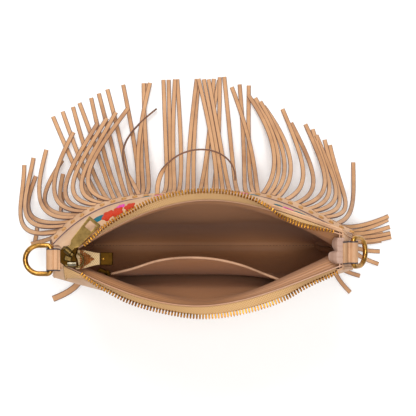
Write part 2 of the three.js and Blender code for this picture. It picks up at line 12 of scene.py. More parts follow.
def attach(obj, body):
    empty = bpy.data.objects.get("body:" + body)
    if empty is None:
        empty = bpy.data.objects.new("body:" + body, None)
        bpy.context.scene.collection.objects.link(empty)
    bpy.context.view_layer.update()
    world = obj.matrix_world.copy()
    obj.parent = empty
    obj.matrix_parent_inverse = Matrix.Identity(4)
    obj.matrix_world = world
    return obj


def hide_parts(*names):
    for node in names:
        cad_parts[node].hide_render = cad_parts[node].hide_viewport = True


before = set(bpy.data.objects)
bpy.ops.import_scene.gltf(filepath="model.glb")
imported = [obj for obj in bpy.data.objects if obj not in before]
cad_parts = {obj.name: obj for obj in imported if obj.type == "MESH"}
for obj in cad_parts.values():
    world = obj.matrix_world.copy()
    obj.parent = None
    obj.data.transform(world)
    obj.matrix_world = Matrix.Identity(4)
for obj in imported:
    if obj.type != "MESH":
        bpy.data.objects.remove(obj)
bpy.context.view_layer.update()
scene = bpy.context.scene
scene.view_settings.view_transform = "Standard"
MM = 0.001


# White table top under soft studio light. A large lamp beyond the fringed front reaches into
# the open mouth, and the back lip throws a soft shadow. The camera looks straight down.
def screen(red, green, blue):
    """A colour as it shows on a screen, 0 to 255, as linear light."""
    shown = (red / 255, green / 255, blue / 255)
    return tuple(c / 12.92 if c < 0.04 else ((c + 0.055) / 1.055) ** 2.4 for c in shown) + (1.0,)


def new_finish(name, rough, metal=0.0):
    finish = bpy.data.materials.new(name)
    finish.use_nodes = True
    surface = finish.node_tree.nodes["Principled BSDF"]
    surface.inputs["Roughness"].default_value = rough
    surface.inputs["Metallic"].default_value = metal
    return finish


def node(finish, kind, inputs, **settings):
    made = finish.node_tree.nodes.new("ShaderNode" + kind)
    for key, value in settings.items():
        setattr(made, key, value)
    for key, value in inputs.items():
        if isinstance(value, bpy.types.NodeSocket):
            finish.node_tree.links.new(value, made.inputs[key])
        else:
            made.inputs[key].default_value = value
    return made


def to_surface(finish, socket, value):
    finish.node_tree.links.new(value, finish.node_tree.nodes["Principled BSDF"].inputs[socket])


def tones(finish, factor, *stops):
    """A colour that follows a factor through (place, colour) stops in rising order."""
    ramp = node(finish, "ValToRGB", {"Fac": factor})
    marks = ramp.color_ramp.elements
    marks[0].position, marks[0].color = stops[0]
    marks[1].position, marks[1].color = stops[-1]
    for place, colour in stops[1:-1]:
        marks.new(place).color = colour
    return ramp.outputs["Color"]


camera_lens = bpy.data.cameras.new("camera")
camera_lens.lens = 68.8
camera_lens.sensor_width = 36
camera = bpy.data.objects.new("camera", camera_lens)
camera.location = (-0.0044, -0.0405, 0.88)
camera.rotation_euler = (0, 0, math.pi)
scene.collection.objects.link(camera)
scene.camera = camera

table_white = new_finish("table_white", 0.7)
white = table_white.node_tree.nodes["Principled BSDF"].inputs
white["Base Color"].default_value = (0.9, 0.9, 0.9, 1)
white["Emission Color"].default_value = (1, 1, 1, 1)
white["Emission Strength"].default_value = 0.13
bm = bmesh.new()
bmesh.ops.create_grid(bm, x_segments=1, y_segments=1, size=3)
table_mesh = bpy.data.meshes.new("table_top")
bm.to_mesh(table_mesh)
bm.free()
table_mesh.materials.append(table_white)
table_top = bpy.data.objects.new("table_top", table_mesh)
scene.collection.objects.link(table_top)

studio = bpy.data.worlds.new("studio")
studio.use_nodes = True
studio.node_tree.nodes["Background"].inputs["Color"].default_value = (1.0, 0.99, 0.97, 1)
studio.node_tree.nodes["Background"].inputs["Strength"].default_value = 0.42
scene.world = studio
for name, place, size, watts in (
    ("overhead_lamp", (-0.05, 0.0, 1.5), 0.5, 10),
    ("front_lamp", (0.15, -0.8, 1.1), 0.6, 7.6),
    ("back_lamp", (-0.2, 0.75, 1.1), 0.8, 2.8),
):
    lamp_data = bpy.data.lights.new(name, "AREA")
    lamp_data.size = size
    lamp_data.energy = watts
    lamp = bpy.data.objects.new(name, lamp_data)
    lamp.location = place
    lamp.rotation_euler = (Vector((0, -0.02, 0.12)) - Vector(place)).to_track_quat("-Z", "Y").to_euler()
    scene.collection.objects.link(lamp)


# Front and back walls: 2 mm natural tan leather, smooth grain side out, cut edges left bare.
# Sewn together down both ends; level with the zip at the top, a little wider at the base.
LEATHER = 2.0
RIM_Z = 180.0
HEM_Z = 0.8
END_STRIP_FROM = 0.94
SIDE_SEAM = 0.15
SECTION = ("z", "half", "front", "back", "end_l", "end_r", "mid_l", "mid_r", "full_f", "full_b", "skew_f")


def table(columns, *rows):
    return [dict(zip(columns, row)) for row in rows]


BODY = table(
    SECTION,
    (0, 128, 22, 22, 12, 12, 0, 0, 5, 5, 0),
    (5, 133, 27, 27, 13, 13, 0, 0, 5, 5, 0),
    (14, 136, 30, 30, 13, 13, 0, 0, 4.6, 4.6, 0),
    (60, 138, 36, 35, 12, 12, 0, 0, 3.4, 3.1, 0),
    (110, 139, 46.5, 41, 13, 11, 4, 0, 2.2, 2, 0.7),
    (150, 138, 58, 41.5, 13.2, 14.5, 10, 1.2, 1.4, 0.95, 0.58),
    (168, 130.5, 53.5, 48.3, 8.5, 15, 4.5, -1.5, 1.15, 1.05, 0.35),
    (RIM_Z, 124, 52.5, 48.5, 7, 17, 6, -3.5, 0.95, 0.95, 0),
)


def lerp(a, b, t):
    return a + (b - a) * t


def clamp(value, low, high):
    return max(low, min(high, value))


def smoothstep(value, low, high):
    t = clamp((value - low) / (high - low), 0, 1)
    return t * t * (3 - 2 * t)


def row_at(rows, key, value):
    """A row between the rows of a table, on a smooth curve through them."""
    i = 1
    while i < len(rows) - 1 and rows[i][key] < value:
        i += 1
    low, high = rows[i - 1], rows[i]
    before, after = rows[max(i - 2, 0)], rows[min(i + 1, len(rows) - 1)]
    step = high[key] - low[key]
    t = clamp((value - low[key]) / step, 0, 1)
    row = {}
    for name in low:
        slope_low = (high[name] - before[name]) / (high[key] - before[key])
        slope_high = (after[name] - low[name]) / (after[key] - low[key])
        row[name] = (low[name] + t * t * (3 - 2 * t) * (high[name] - low[name])
                     + step * t * (1 - t) * ((1 - t) * slope_low - t * slope_high))
    return row


def plan_point(section, side, along):
    reach = min(abs(along) / END_STRIP_FROM, 1)
    q = math.copysign(math.sin(reach * math.pi / 2), along)
    end = lerp(section["end_r"], section["end_l"], (q + 1) / 2)
    middle = lerp(section["mid_r"], section["mid_l"], (q + 1) / 2)
    depth, full = section["back"], section["full_b"]
    if side < 0:
        depth, full = section["front"], section["full_f"] + section["skew_f"] * q
    swell = math.cos(math.pi / 2 * abs(q) ** full)
    past = max(abs(along) - END_STRIP_FROM, 0) / (1 - END_STRIP_FROM)
    return Vector((section["half"] * q, middle + side * lerp(end + (depth - end) * swell, SIDE_SEAM, past)))


def plan_normal(section, side, along):
    nudge = 0.004
    ahead = plan_point(section, side, min(along + nudge, 1))
    run = (ahead - plan_point(section, side, max(along - nudge, -1))).normalized()
    return Vector((-side * run.y, side * run.x, 0))


def shell(rows, side, along, z, out):
    """A point of a wall: side -1 front or 1 back, along -1 to 1 from end to end, out from its face."""
    section = row_at(rows, "z", z)
    point = plan_point(section, side, along)
    return Vector((point.x, point.y, z)) + plan_normal(section, side, along) * out


def along_at(x, half):
    return math.asin(clamp(x / half, -1, 1)) / (math.pi / 2) * END_STRIP_FROM


def to_metres(bm):
    bmesh.ops.scale(bm, vec=(MM, MM, MM), verts=bm.verts)


def make_piece(name, bm, finishes, body="bag", stands_for=()):
    mesh = bpy.data.meshes.new(name)
    bm.to_mesh(mesh)
    bm.free()
    for finish in finishes:
        mesh.materials.append(finish)
    piece = bpy.data.objects.new(name, mesh)
    scene.collection.objects.link(piece)
    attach(piece, body)
    if stands_for:
        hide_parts(*stands_for)
    return piece


def lay_sheet(bm, across, along, place, flat, tone=None):
    """A flat sheet, its map in metres, with every corner then put in place."""
    chart = bm.loops.layers.uv.get("cut") or bm.loops.layers.uv.new("cut")
    shade = bm.verts.layers.float.get("tone") or bm.verts.layers.float.new("tone")
    laid = bmesh.ops.create_grid(bm, x_segments=across, y_segments=along, size=0.5)["verts"]
    for face in {face for vert in laid for face in vert.link_faces}:
        face.smooth = True
        for loop in face.loops:
            u, v = loop.vert.co.x + 0.5, loop.vert.co.y + 0.5
            loop[chart].uv = (u * flat[0] * MM, v * flat[1] * MM)
    for vert in laid:
        u, v = vert.co.x + 0.5, vert.co.y + 0.5
        vert[shade] = tone(u, v) if tone else 0.0
        vert.co = place(u, v) * MM
    return laid


def thicken(piece, thick, edge_round=0.0, cut_edge=0):
    wall = piece.modifiers.new("thickness", "SOLIDIFY")
    wall.thickness = thick * MM
    wall.offset = 0
    wall.material_offset_rim = cut_edge
    if edge_round:
        worn = piece.modifiers.new("worn_edge", "BEVEL")
        worn.width = edge_round * MM
        worn.segments = 2
        worn.limit_method = "ANGLE"
        worn.angle_limit = math.radians(50)


def tan_leather(name, pale, base, deep, rough, cut_wide=0.0, edge_colour=None, edge_wide=0.7):
    """Tan leather; a strip cut to a width has its two long edges darkened or painted."""
    finish = new_finish(name, rough)
    here = node(finish, "TexCoord", {}).outputs["Object"]
    clouds = node(finish, "TexNoise", {"Vector": here, "Scale": 34, "Detail": 6, "Roughness": 0.65})
    tone = node(finish, "Attribute", {}, attribute_name="tone").outputs["Fac"]
    mixed = node(finish, "Math", {0: clouds.outputs["Fac"], 1: tone}, operation="ADD").outputs[0]
    colour = tones(finish, mixed, (0.25, deep), (0.5, base), (0.8, pale))
    pores = node(finish, "TexVoronoi", {"Vector": here, "Scale": 900})
    creases = node(finish, "TexNoise", {"Vector": here, "Scale": 300, "Detail": 3, "Distortion": 1.5})
    height = node(
        finish, "Math", {0: pores.outputs["Distance"], 1: creases.outputs["Fac"]}, operation="ADD",
    )
    grain = node(finish, "Bump", {"Height": height.outputs[0], "Strength": 0.22, "Distance": 0.0006})
    speck = node(finish, "Math", {0: pores.outputs["Distance"], 1: 0.12}, operation="MULTIPLY")
    rough_by = node(finish, "Math", {0: speck.outputs[0], 1: rough}, operation="ADD")
    if cut_wide:
        flat = node(finish, "UVMap", {}, uv_map="cut").outputs["UV"]
        across = node(finish, "SeparateXYZ", {0: flat}).outputs["X"]
        aside = node(finish, "Math", {0: across, 1: cut_wide / 2 * MM}, operation="SUBTRACT").outputs[0]
        aside = node(finish, "Math", {0: aside}, operation="ABSOLUTE").outputs[0]
        dark = node(finish, "MapRange", {
            "Value": aside,
            "From Min": (cut_wide / 2 - edge_wide) * MM, "From Max": (cut_wide / 2 - edge_wide / 2) * MM,
        }).outputs["Result"]
        colour = node(finish, "Mix", {0: dark, 6: colour, 7: edge_colour}, data_type="RGBA").outputs[2]
    to_surface(finish, "Base Color", colour)
    to_surface(finish, "Normal", grain.outputs["Normal"])
    to_surface(finish, "Roughness", rough_by.outputs[0])
    return finish


tan = tan_leather("tan_leather", screen(218, 180, 144), screen(203, 160, 122), screen(178, 134, 98), 0.5)
cut_tan = tan_leather("cut_edge", screen(150, 110, 88), screen(118, 84, 68), screen(88, 60, 50), 0.75)
bare_edge = tan_leather(
    "bare_edge", screen(204, 164, 128), screen(184, 142, 108), screen(150, 112, 84), 0.7,
)

for name, side, stands_for in (("front_wall", -1, "front_panel"), ("back_wall", 1, "back_panel")):
    bm = bmesh.new()
    lay_sheet(
        bm, 96, 44,
        lambda u, v: shell(BODY, side, lerp(-1, 1, u), lerp(HEM_Z, RIM_Z, v), -LEATHER / 2), (320, RIM_Z),
    )
    wall = make_piece(name, bm, (tan, bare_edge), stands_for=(stands_for,))
    thicken(wall, LEATHER, 0.5, 1)
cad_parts["base_panel"].data.materials.clear()
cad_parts["base_panel"].data.materials.append(tan)


# Yoke: a strip of the same leather sewn over the top of the front. Its lower edge dips towards
# the middle and is rounded and painted dark.
YOKE_THICK = 1.6
YOKE_REACH = 20 / 24
YOKE_END_Z = 151
YOKE_DIP = 13
PAINT_ROUND = 0.9
LAID_ON = 0.6
YOKE_TOP = 179.2


def yoke_edge(along):
    return YOKE_END_Z - YOKE_DIP * math.cos(along * math.pi / 2)


def yoke_point(u, v, out=YOKE_THICK / 2):
    along = lerp(-YOKE_REACH, YOKE_REACH, u)
    laid = LAID_ON * (1 - smoothstep(v, 0.8, 1))
    return shell(BODY, -1, along, lerp(yoke_edge(along), YOKE_TOP, v), laid + out)


def painted_edge(name, colour):
    finish = new_finish(name, 0.38)
    here = node(finish, "TexCoord", {}).outputs["Object"]
    wear = node(finish, "TexNoise", {"Vector": here, "Scale": 260, "Detail": 3})
    rubbed = tuple(c * 1.9 for c in colour[:3]) + (1,)
    bumps = node(finish, "Bump", {"Height": wear.outputs["Fac"], "Strength": 0.3, "Distance": 0.0003})
    to_surface(finish, "Base Color", tones(finish, wear.outputs["Fac"], (0.3, colour), (0.85, rubbed)))
    to_surface(finish, "Normal", bumps.outputs["Normal"])
    return finish


def lay_tube(bm, line, radius, sides):
    """A closed round strand along a line of points."""
    def place(u, v):
        k = round(v * (len(line) - 1))
        run = (line[min(k + 1, len(line) - 1)] - line[max(k - 1, 0)]).normalized()
        side = run.cross(Vector((0, 0, 1))).normalized()
        turn = math.tau * u
        return line[k] + (side * math.cos(turn) + side.cross(run) * math.sin(turn)) * radius

    laid = lay_sheet(bm, sides, len(line) - 1, place, (math.tau * radius, len(line) * 2))
    bmesh.ops.remove_doubles(bm, verts=laid, dist=0.00001)
    bmesh.ops.holes_fill(bm, edges=[edge for edge in bm.edges if edge.is_boundary])
    bmesh.ops.recalc_face_normals(bm, faces=bm.faces)


dark_edge = painted_edge("dark_painted_edge", screen(78, 50, 52))
bm = bmesh.new()
lay_sheet(bm, 90, 12, yoke_point, (260, 34))
yoke = make_piece("yoke", bm, (tan,), stands_for=("front_yoke",))
thicken(yoke, YOKE_THICK, 0.4)
edge_line = []
for i in range(121):
    along = lerp(-YOKE_REACH, YOKE_REACH, i / 120)
    edge_line.append(shell(BODY, -1, along, yoke_edge(along) - 0.1, LAID_ON + YOKE_THICK + 0.1))
bm = bmesh.new()
lay_tube(bm, edge_line, PAINT_ROUND, 10)
make_piece("yoke_painted_edge", bm, (dark_edge,))


# Embroidery on the yoke: simple flowers and leaves in satin stitch, raised a little,
# red and pink petals with teal leaves, worked near both ends of the mouth.
FLOWERS = table(
    ("x", "z", "petals", "reach", "long", "wide", "colour"),
    (84, 172, 5, 2.6, 7, 6.4, "red"),
    (75.5, 173, 5, 2.6, 7, 6.4, "red"),
    (64.5, 173, 5, 2.2, 6.4, 5.6, "red"),
    (73, 167.5, 5, 1.8, 5, 4.4, "pink"),
    (40, 145.5, 5, 3, 6, 5, "pink"),
    (2, 147, 6, 3.4, 8, 6, "red"),
    (-36, 145.5, 5, 3, 6, 5, "pink"),
    (-75.4, 171, 5, 2.6, 6.4, 6, "pink"),
)
LEAVES = table(
    ("x", "z", "long", "wide", "turn", "colour"),
    (91.6, 170.5, 14.5, 7.4, 176, "teal"),
    (52, 147.5, 11, 4.4, 335, "teal"),
    (22, 147, 13, 5, 10, "teal"),
    (-18, 147, 13, 5, 170, "teal"),
    (-47, 146.5, 11, 4.4, 205, "teal"),
    (-66.4, 172, 8.4, 7, 175, "teal"),
    (-86, 172.5, 12.4, 8, 178, "teal"),
)
PADDING = 0.9
NUDGE = 0.01
FLOSS = {
    "red": (screen(218, 62, 12), screen(172, 32, 6)),
    "pink": (screen(236, 84, 180), screen(204, 52, 146)),
    "teal": (screen(0, 116, 130), screen(0, 78, 94)),
}


def satin_stitch(name, light, dark):
    finish = new_finish(name, 0.6)
    finish.node_tree.nodes["Principled BSDF"].inputs["Specular IOR Level"].default_value = 0.25
    flat = node(finish, "UVMap", {}, uv_map="cut").outputs["UV"]
    rows = node(finish, "TexWave", {"Vector": flat, "Scale": 420, "Distortion": 0.8}, bands_direction="Y")
    strands = node(finish, "Bump", {"Height": rows.outputs["Fac"], "Strength": 0.7, "Distance": 0.0004})
    to_surface(finish, "Base Color", tones(finish, rows.outputs["Fac"], (0.1, dark), (0.6, light)))
    to_surface(finish, "Normal", strands.outputs["Normal"])
    return finish


petals = list(LEAVES)
for flower in FLOWERS:
    for k in range(flower["petals"]):
        turn = 360 * k / flower["petals"] + flower["x"]
        petals.append({
            **flower, "turn": turn,
            "x": flower["x"] + flower["reach"] * math.cos(math.radians(turn)),
            "z": flower["z"] + flower["reach"] * math.sin(math.radians(turn)),
        })
for colour, (light, dark) in FLOSS.items():
    bm = bmesh.new()
    for petal in petals:
        if petal["colour"] != colour:
            continue
        turn = math.radians(petal["turn"])
        along0 = along_at(petal["x"], row_at(BODY, "z", petal["z"])["half"])
        before, after = (shell(BODY, -1, along0 + nudge, petal["z"], 0) for nudge in (-NUDGE, NUDGE))
        per_mm = 2 * NUDGE / (after - before).length

        def on_yoke(u, v):
            s = (u - 0.5) * petal["long"]
            t = (v - 0.5) * petal["wide"] * math.sin(math.pi * lerp(0.04, 0.98, u) ** 0.8) ** 0.7
            crown = math.sin(math.pi * lerp(0.03, 0.97, u)) ** 0.5 * math.sin(math.pi * v) ** 0.5
            step = (s * math.cos(turn) - t * math.sin(turn)) * per_mm
            z = clamp(petal["z"] + s * math.sin(turn) + t * math.cos(turn), 0, YOKE_TOP - 1.2)
            return shell(BODY, -1, along0 + step, z, LAID_ON + YOKE_THICK - 0.1 + PADDING * crown)

        lay_sheet(bm, 12, 6, on_yoke, (petal["long"], petal["wide"]))
    flowers = make_piece(
        "embroidery_" + colour, bm, (satin_stitch("floss_" + colour, light, dark),),
    )
    thicken(flowers, 0.2)


# Fringe: a leather band that flares out under the yoke edge, with sixty-eight strips, 4.6 mm wide,
# that bend over and spread on the table. The knife-cut sides show the darker raw fibre.
STRIP_WIDE = 4.6
STRIP_THICK = 1.4
FIRST_WIDE = 6.8
STRIP_LONG = 180
STRIP_STEPS = 28
BAND_HIGH = 11
BAND_FLARE = 5.5
BAND_THICK = 1.9
BAND_STITCH = {"pitch": 10.5, "size": 3.2, "gap": 0.48}
STITCH_DOWN = 4.4
TABLE_LIFT = 1
FACE_UP_FROM = 0.05
FACE_UP_BY = 0.55
ON_EDGE_BY = 0.3
SWAY = {"turn": 2.4, "aside": 1.6, "head": 4, "over": 1.5, "layer": 0.8}
LOCKS = table(
    ("count", "root_x0", "root_x1", "tip_x0", "tip_y0", "tip_x1", "tip_y1", "head0", "head1",
     "leave0", "leave1", "away", "drop", "lead", "lift", "edge"),
    (1, 135, 135, 167, 60, 167, 60, 111, 111, 115, 115, 41, 130, 80, 0, 0),
    (2, 133, 128, 191, -2, 182, -11, 100, 100, 100, 96, 16, 70, 36, 0, 0),
    (1, 126, 126, 188, -2, 188, -2, 165, 165, 95, 95, 46, 60, 34, 0, 0),
    (2, 131, 126, 199, -88, 189, -96, 0, -8, 100, 98, 58, 24, 46, 0, 0),
    (2, 121, 117, 184, -75, 175, -105, -26, -11, 97, 95, 46, 24, 44, 2, 0),
    (2, 112, 109, 155, -58, 155, -78, -8, -14, 90, 88, 34, 60, 30, 0, 0),
    (2, 113, 109, 157, -94, 142, -123, -30, -32, 92, 90, 46, 26, 50, 4, 0),
    (4, 104, 86, 117, -133, 84, -150, -30, -33, 88, 80, 44, 18, 62, 11, 0),
    (7, 98, 66, 166, -142, 106, -172, 20, 13, 62, 42, 20, 80, 84, 0, 0),
    (1, 60, 60, 53, -151, 53, -151, -48, -48, 34, 34, 46, 84, 66, 2.4, 1),
    (1, 64, 64, 88, -177, 88, -177, 8, 8, 10, 10, 10, 88, 92, 0, 0),
    (3, 53, 62, 67, -178, 58, -178, 2, -18, 4, 8, 10, 88, 92, 1.4, 0),
    (1, 43, 43, -33, -68, -33, -68, 180, 180, 4, 4, 56, 34, 44, 84, 1),
    (4, 37, 24, 44, -182, 28, -183, 0, 0, 0, 0, 8, 96, 96, 0, 0),
    (2, 15.5, 9.5, 9, -183, 6, -183, -5, -5, 0, 0, 8, 96, 96, 0, 0),
    (2, 3, -3, -12, -183, -15, -182, -7, -7, 0, 0, 8, 96, 96, 0, 0),
    (3, -13, -25, 5, -183, -4, -182, 11, 13, 0, 0, 8, 96, 96, 2, 0),
    (2, -10, -32, -19, -185, -21, -185, -4, 9, 0, -4, 8, 96, 96, 1, 0),
    (1, -51, -51, -31, -174, -31, -174, 20, 20, -6, -6, 14, 90, 80, 2, 0),
    (2, -40, -47, -40, -177, -48, -176, 3, 3, -4, -6, 10, 90, 90, 0, 0),
    (4, -55, -68, -50, -165, -67, -153, 31, 33, -44, -56, 26, 50, 66, 5, 0),
    (2, -76, -84, -85, -149, -97, -135, 27, 25, -66, -72, 34, 44, 62, 1, 0),
    (5, -90, -112, -112, -133, -139, -110, 24, 12, -76, -86, 40, 40, 58, 0, 0),
    (1, -122, -122, -166, -91, -166, -91, -2, -2, -80, -80, 26, 40, 36, 0, 0),
    (5, -120, -132, -203, -33, -207, -7, -62, -79, -70, -84, 10, 112, 62, 0, 0),
    (4, -126, -133, -197, -16, -193, 20, -68, -104, -78, -96, 13, 112, 50, 0, 0),
    (2, -134, -135, -172, 36, -162, 52, -108, -132, -124, -128, 26, 130, 60, 0, 0),
)


def heading(degrees):
    return Vector((math.sin(math.radians(degrees)), -math.cos(math.radians(degrees)), 0))


def bend(points, t):
    a, b, c, d = points
    return a * (1 - t) ** 3 + b * 3 * t * (1 - t) ** 2 + c * 3 * t * t * (1 - t) + d * t ** 3


def even_shares(points, steps):
    """Shares of a line of points that lie at equal lengths along it."""
    lengths = [0.0]
    for a, b in zip(points, points[1:]):
        lengths.append(lengths[-1] + (b - a).length)
    shares = []
    i = 0
    for k in range(steps + 1):
        goal = lengths[-1] * k / steps
        while i < len(points) - 2 and lengths[i + 1] < goal:
            i += 1
        shares.append((i + (goal - lengths[i]) / (lengths[i + 1] - lengths[i])) / (len(points) - 1))
    return shares


def thread(name, light, dark, rough=0.6):
    finish = new_finish(name, rough)
    finish.node_tree.nodes["Principled BSDF"].inputs["Sheen Weight"].default_value = 0.25
    here = node(finish, "TexCoord", {}).outputs["Object"]
    ply = node(finish, "TexNoise", {"Vector": here, "Scale": 1400, "Detail": 2})
    twist = node(finish, "Bump", {"Height": ply.outputs["Fac"], "Strength": 0.4, "Distance": 0.0003})
    to_surface(finish, "Base Color", tones(finish, ply.outputs["Fac"], (0.3, dark), (0.7, light)))
    to_surface(finish, "Normal", twist.outputs["Normal"])
    return finish


def stitch_row(name, line, finish, slot, pitch, size, gap):
    """Stitches laid end to end along a line, given as (place, outward) pairs in millimetres."""
    bm = bmesh.new()
    walked = 0.0
    due = pitch / 2
    for (a, out_a), (b, out_b) in zip(line, line[1:]):
        step = (b - a).length
        while due <= walked + step:
            t = (due - walked) / step
            run = (b - a).normalized()
            side = out_a.lerp(out_b, t).cross(run).normalized()
            up = run.cross(side)
            half = (run * pitch * (1 - gap) / 2, side * size / 2, up * size / 2)
            turn = Matrix(half).transposed().to_4x4()
            turn.translation = a.lerp(b, t)
            bmesh.ops.create_uvsphere(bm, u_segments=8, v_segments=5, radius=1, matrix=turn)
            due += pitch
        walked += step
    for face in bm.faces:
        face.smooth = True
    to_metres(bm)
    return make_piece(name, bm, (finish,))


def band_point(along, down, out):
    """A point of the flared band, down millimetres below the yoke edge."""
    flare = BAND_FLARE * down / BAND_HIGH
    return shell(BODY, -1, along, yoke_edge(along) - down, LAID_ON + flare + out)


def band_facing(along):
    out = plan_normal(row_at(BODY, "z", yoke_edge(along) - BAND_HIGH), -1, along)
    return Vector((out.x * BAND_HIGH, out.y * BAND_HIGH, BAND_FLARE)).normalized()


bm = bmesh.new()
lay_sheet(
    bm, 120, 6,
    lambda u, v: band_point(lerp(-YOKE_REACH, YOKE_REACH, u), lerp(BAND_HIGH, 0.3, v), BAND_THICK / 2),
    (270, BAND_HIGH),
)
band = make_piece("fringe_band", bm, (tan, cut_tan))
thicken(band, BAND_THICK, 0.3, 1)
seam_thread = thread("seam_thread", screen(206, 154, 84), screen(150, 100, 48))
seam_line = []
for i in range(161):
    along = lerp(YOKE_REACH, -YOKE_REACH, i / 160)
    seam_line.append((band_point(along, STITCH_DOWN, BAND_THICK + 0.4), band_facing(along)))
stitch_row("band_stitches", seam_line, seam_thread, "leather", **BAND_STITCH)

random.seed(11)
strip_tan = tan_leather(
    "strip_leather", screen(214, 166, 122), screen(200, 150, 105), screen(172, 124, 86), 0.55,
    STRIP_WIDE, screen(104, 70, 54),
)
band_half = row_at(BODY, "z", YOKE_END_Z - BAND_HIGH)["half"]
bm = bmesh.new()
cut = 0
for lock in LOCKS:
    for i in range(lock["count"]):
        share = i / max(lock["count"] - 1, 1)
        at = {name: lerp(lock[name + "0"], lock[name + "1"], share)
              for name in ("root_x", "tip_x", "tip_y", "head", "leave")}
        sway = math.sin(cut * SWAY["turn"])
        head = at["head"] + SWAY["head"] * sway
        along = along_at(at["root_x"], band_half)
        root = band_point(along, BAND_HIGH - STRIP_THICK, BAND_THICK / 2 + cut % 2 * SWAY["layer"])
        facing = band_facing(along)
        tip = Vector((at["tip_x"], at["tip_y"], TABLE_LIFT + lock["lift"] + cut % 2 * SWAY["over"]))
        tip += heading(head + 90) * SWAY["aside"] * sway
        hang = root + heading(at["leave"]) * lock["away"] - Vector((0, 0, lock["drop"]))
        lie = tip - heading(head) * lock["lead"]
        path = (root, hang, lie, tip)
        walk = even_shares([bend(path, k / 80) for k in range(81)], STRIP_STEPS)
        shade = random.uniform(-0.1, 0.1)
        wide = STRIP_WIDE if cut else FIRST_WIDE

        def on_strip(u, v):
            t = walk[round(v * STRIP_STEPS)]
            run = (bend(path, min(t + 0.01, 1)) - bend(path, max(t - 0.01, 0))).normalized()
            face = facing.lerp(Vector((0, 0, 1)), smoothstep(t, FACE_UP_FROM, FACE_UP_BY))
            width = face.cross(run).normalized()
            upright = (Vector((0, 0, 1)) - run * run.z).normalized()
            width = width.lerp(upright, lock["edge"] * smoothstep(t, 0, ON_EDGE_BY)).normalized()
            return bend(path, t) + width * (u - 0.5) * wide

        lay_sheet(bm, 2, STRIP_STEPS, on_strip, (STRIP_WIDE, STRIP_LONG), lambda u, v: shade)
        cut += 1
fringe = make_piece("fringe_strips", bm, (strip_tan, cut_tan), stands_for=("fringe",))
thicken(fringe, STRIP_THICK, 0.2, 1)


# Lining: a brown-taupe faille sack, 1 mm, sewn along its bottom fold and to the zip tapes,
# with fine cross ribs, soft folds and a paler facing under the back rim. Its colour also carries
# painted shade on the back lining below the facing and a painted highlight along the rim.
CLOTH = 1.0
SACK = table(
    SECTION,
    (3.4, 123, 18, 18, 9, 9, 0, 0, 5, 5, 0),
    (14, 132, 26, 26, 9, 9, 0, 0, 4.4, 4.4, 0),
    (60, 134, 31, 31, 8, 8, 0, 0, 3.4, 3.4, 0),
    (110, 134, 36, 37, 7, 8, 1, 0, 2.5, 2.4, 0),
    (152, 123, 44.5, 43.5, 4.5, 3, 4, -2, 1.2, 0.92, 0),
    (RIM_Z, 120.2, 48.6, 44.6, 3.3, 13.2, 6, -3.5, 0.95, 0.95, 0),
)
SACK_LOW = SACK[0]["z"]
FACING_Z = 152
SEAM_STITCH = {"pitch": 3.6, "size": 0.7, "gap": 0.45}
SEWN_IN = LEATHER + 1.4 + CLOTH / 2
FOLD = 1.8
ROUND_SHARE = 0.3
SAG = {
    -1: {"deep": 9, "z": 40, "high": 44, "round": 74},
    1: {"deep": 7, "z": 20, "high": 18, "round": 50},
}


def faille(name, base, deep, pale, ribbed=1.0):
    finish = new_finish(name, 0.5)
    finish.node_tree.nodes["Principled BSDF"].inputs["Sheen Weight"].default_value = 0.08
    here = node(finish, "TexCoord", {}).outputs["Object"]
    flat = node(finish, "UVMap", {}, uv_map="cut").outputs["UV"]
    tone = node(finish, "Attribute", {}, attribute_name="tone").outputs["Fac"]
    ribs = node(finish, "TexWave", {
        "Vector": flat, "Scale": 120, "Distortion": 2.5, "Detail": 2, "Detail Scale": 0.4,
    }, bands_direction="Y")
    slubs_at = node(finish, "Mapping", {"Vector": flat, "Scale": (30, 900, 1)})
    slubs = node(finish, "TexNoise", {"Vector": slubs_at.outputs["Vector"], "Scale": 1, "Detail": 3})
    weft = node(finish, "Math", {0: ribs.outputs["Fac"], 1: 0.1 * ribbed}, operation="MULTIPLY")
    slub = node(finish, "MapRange", {"Value": slubs.outputs["Fac"], "To Min": 0.44, "To Max": 0.65})
    streak = node(finish, "Math", {0: slub.outputs["Result"], 1: weft.outputs[0]}, operation="ADD")
    toned = node(finish, "Math", {0: streak.outputs[0], 1: tone}, operation="ADD")
    colour = tones(finish, toned.outputs[0], (0.3, deep), (0.62, base), (1.0, pale))
    grains = node(finish, "TexNoise", {"Vector": here, "Scale": 900, "Detail": 2})
    height = node(finish, "Math", {0: ribs.outputs["Fac"], 1: grains.outputs["Fac"]}, operation="ADD")
    weave = node(
        finish, "Bump", {"Height": height.outputs[0], "Strength": 0.5 * ribbed, "Distance": 0.0005},
    )
    to_surface(finish, "Base Color", colour)
    to_surface(finish, "Normal", weave.outputs["Normal"])
    return finish


def fold_depth(side, along, z):
    """How far the lining stands in from its seat: a sag above its fold, soft folds along and across."""
    calm = math.sin(math.pi * clamp((z - SACK_LOW) / (RIM_Z - SACK_LOW), 0, 1))
    sag = SAG[side]["deep"] * math.exp(-((z - SAG[side]["z"]) / SAG[side]["high"]) ** 2)
    level = math.sin(z * 0.1 + 1.4 * math.sin(along * 2.3 + side)) * 0.3
    hanging = math.sin(along * 8 + z * 0.03 + side * 1.3) * 0.5 * smoothstep(-along, -0.7, 0.4)
    creased = math.sin(along * 19 - z * 0.06) * 0.22 * smoothstep(-along, -0.3, 0.3)
    return (sag + FOLD * calm * (level + hanging + creased + 0.95)) * (1 - along ** 6)


def sack_seat(side, along, z):
    return shell(SACK, side, along, z, -CLOTH / 2 - fold_depth(side, along, z))


def sack_height(side, v):
    return lerp(SAG[side]["round"], RIM_Z, (v - ROUND_SHARE) / (1 - ROUND_SHARE))


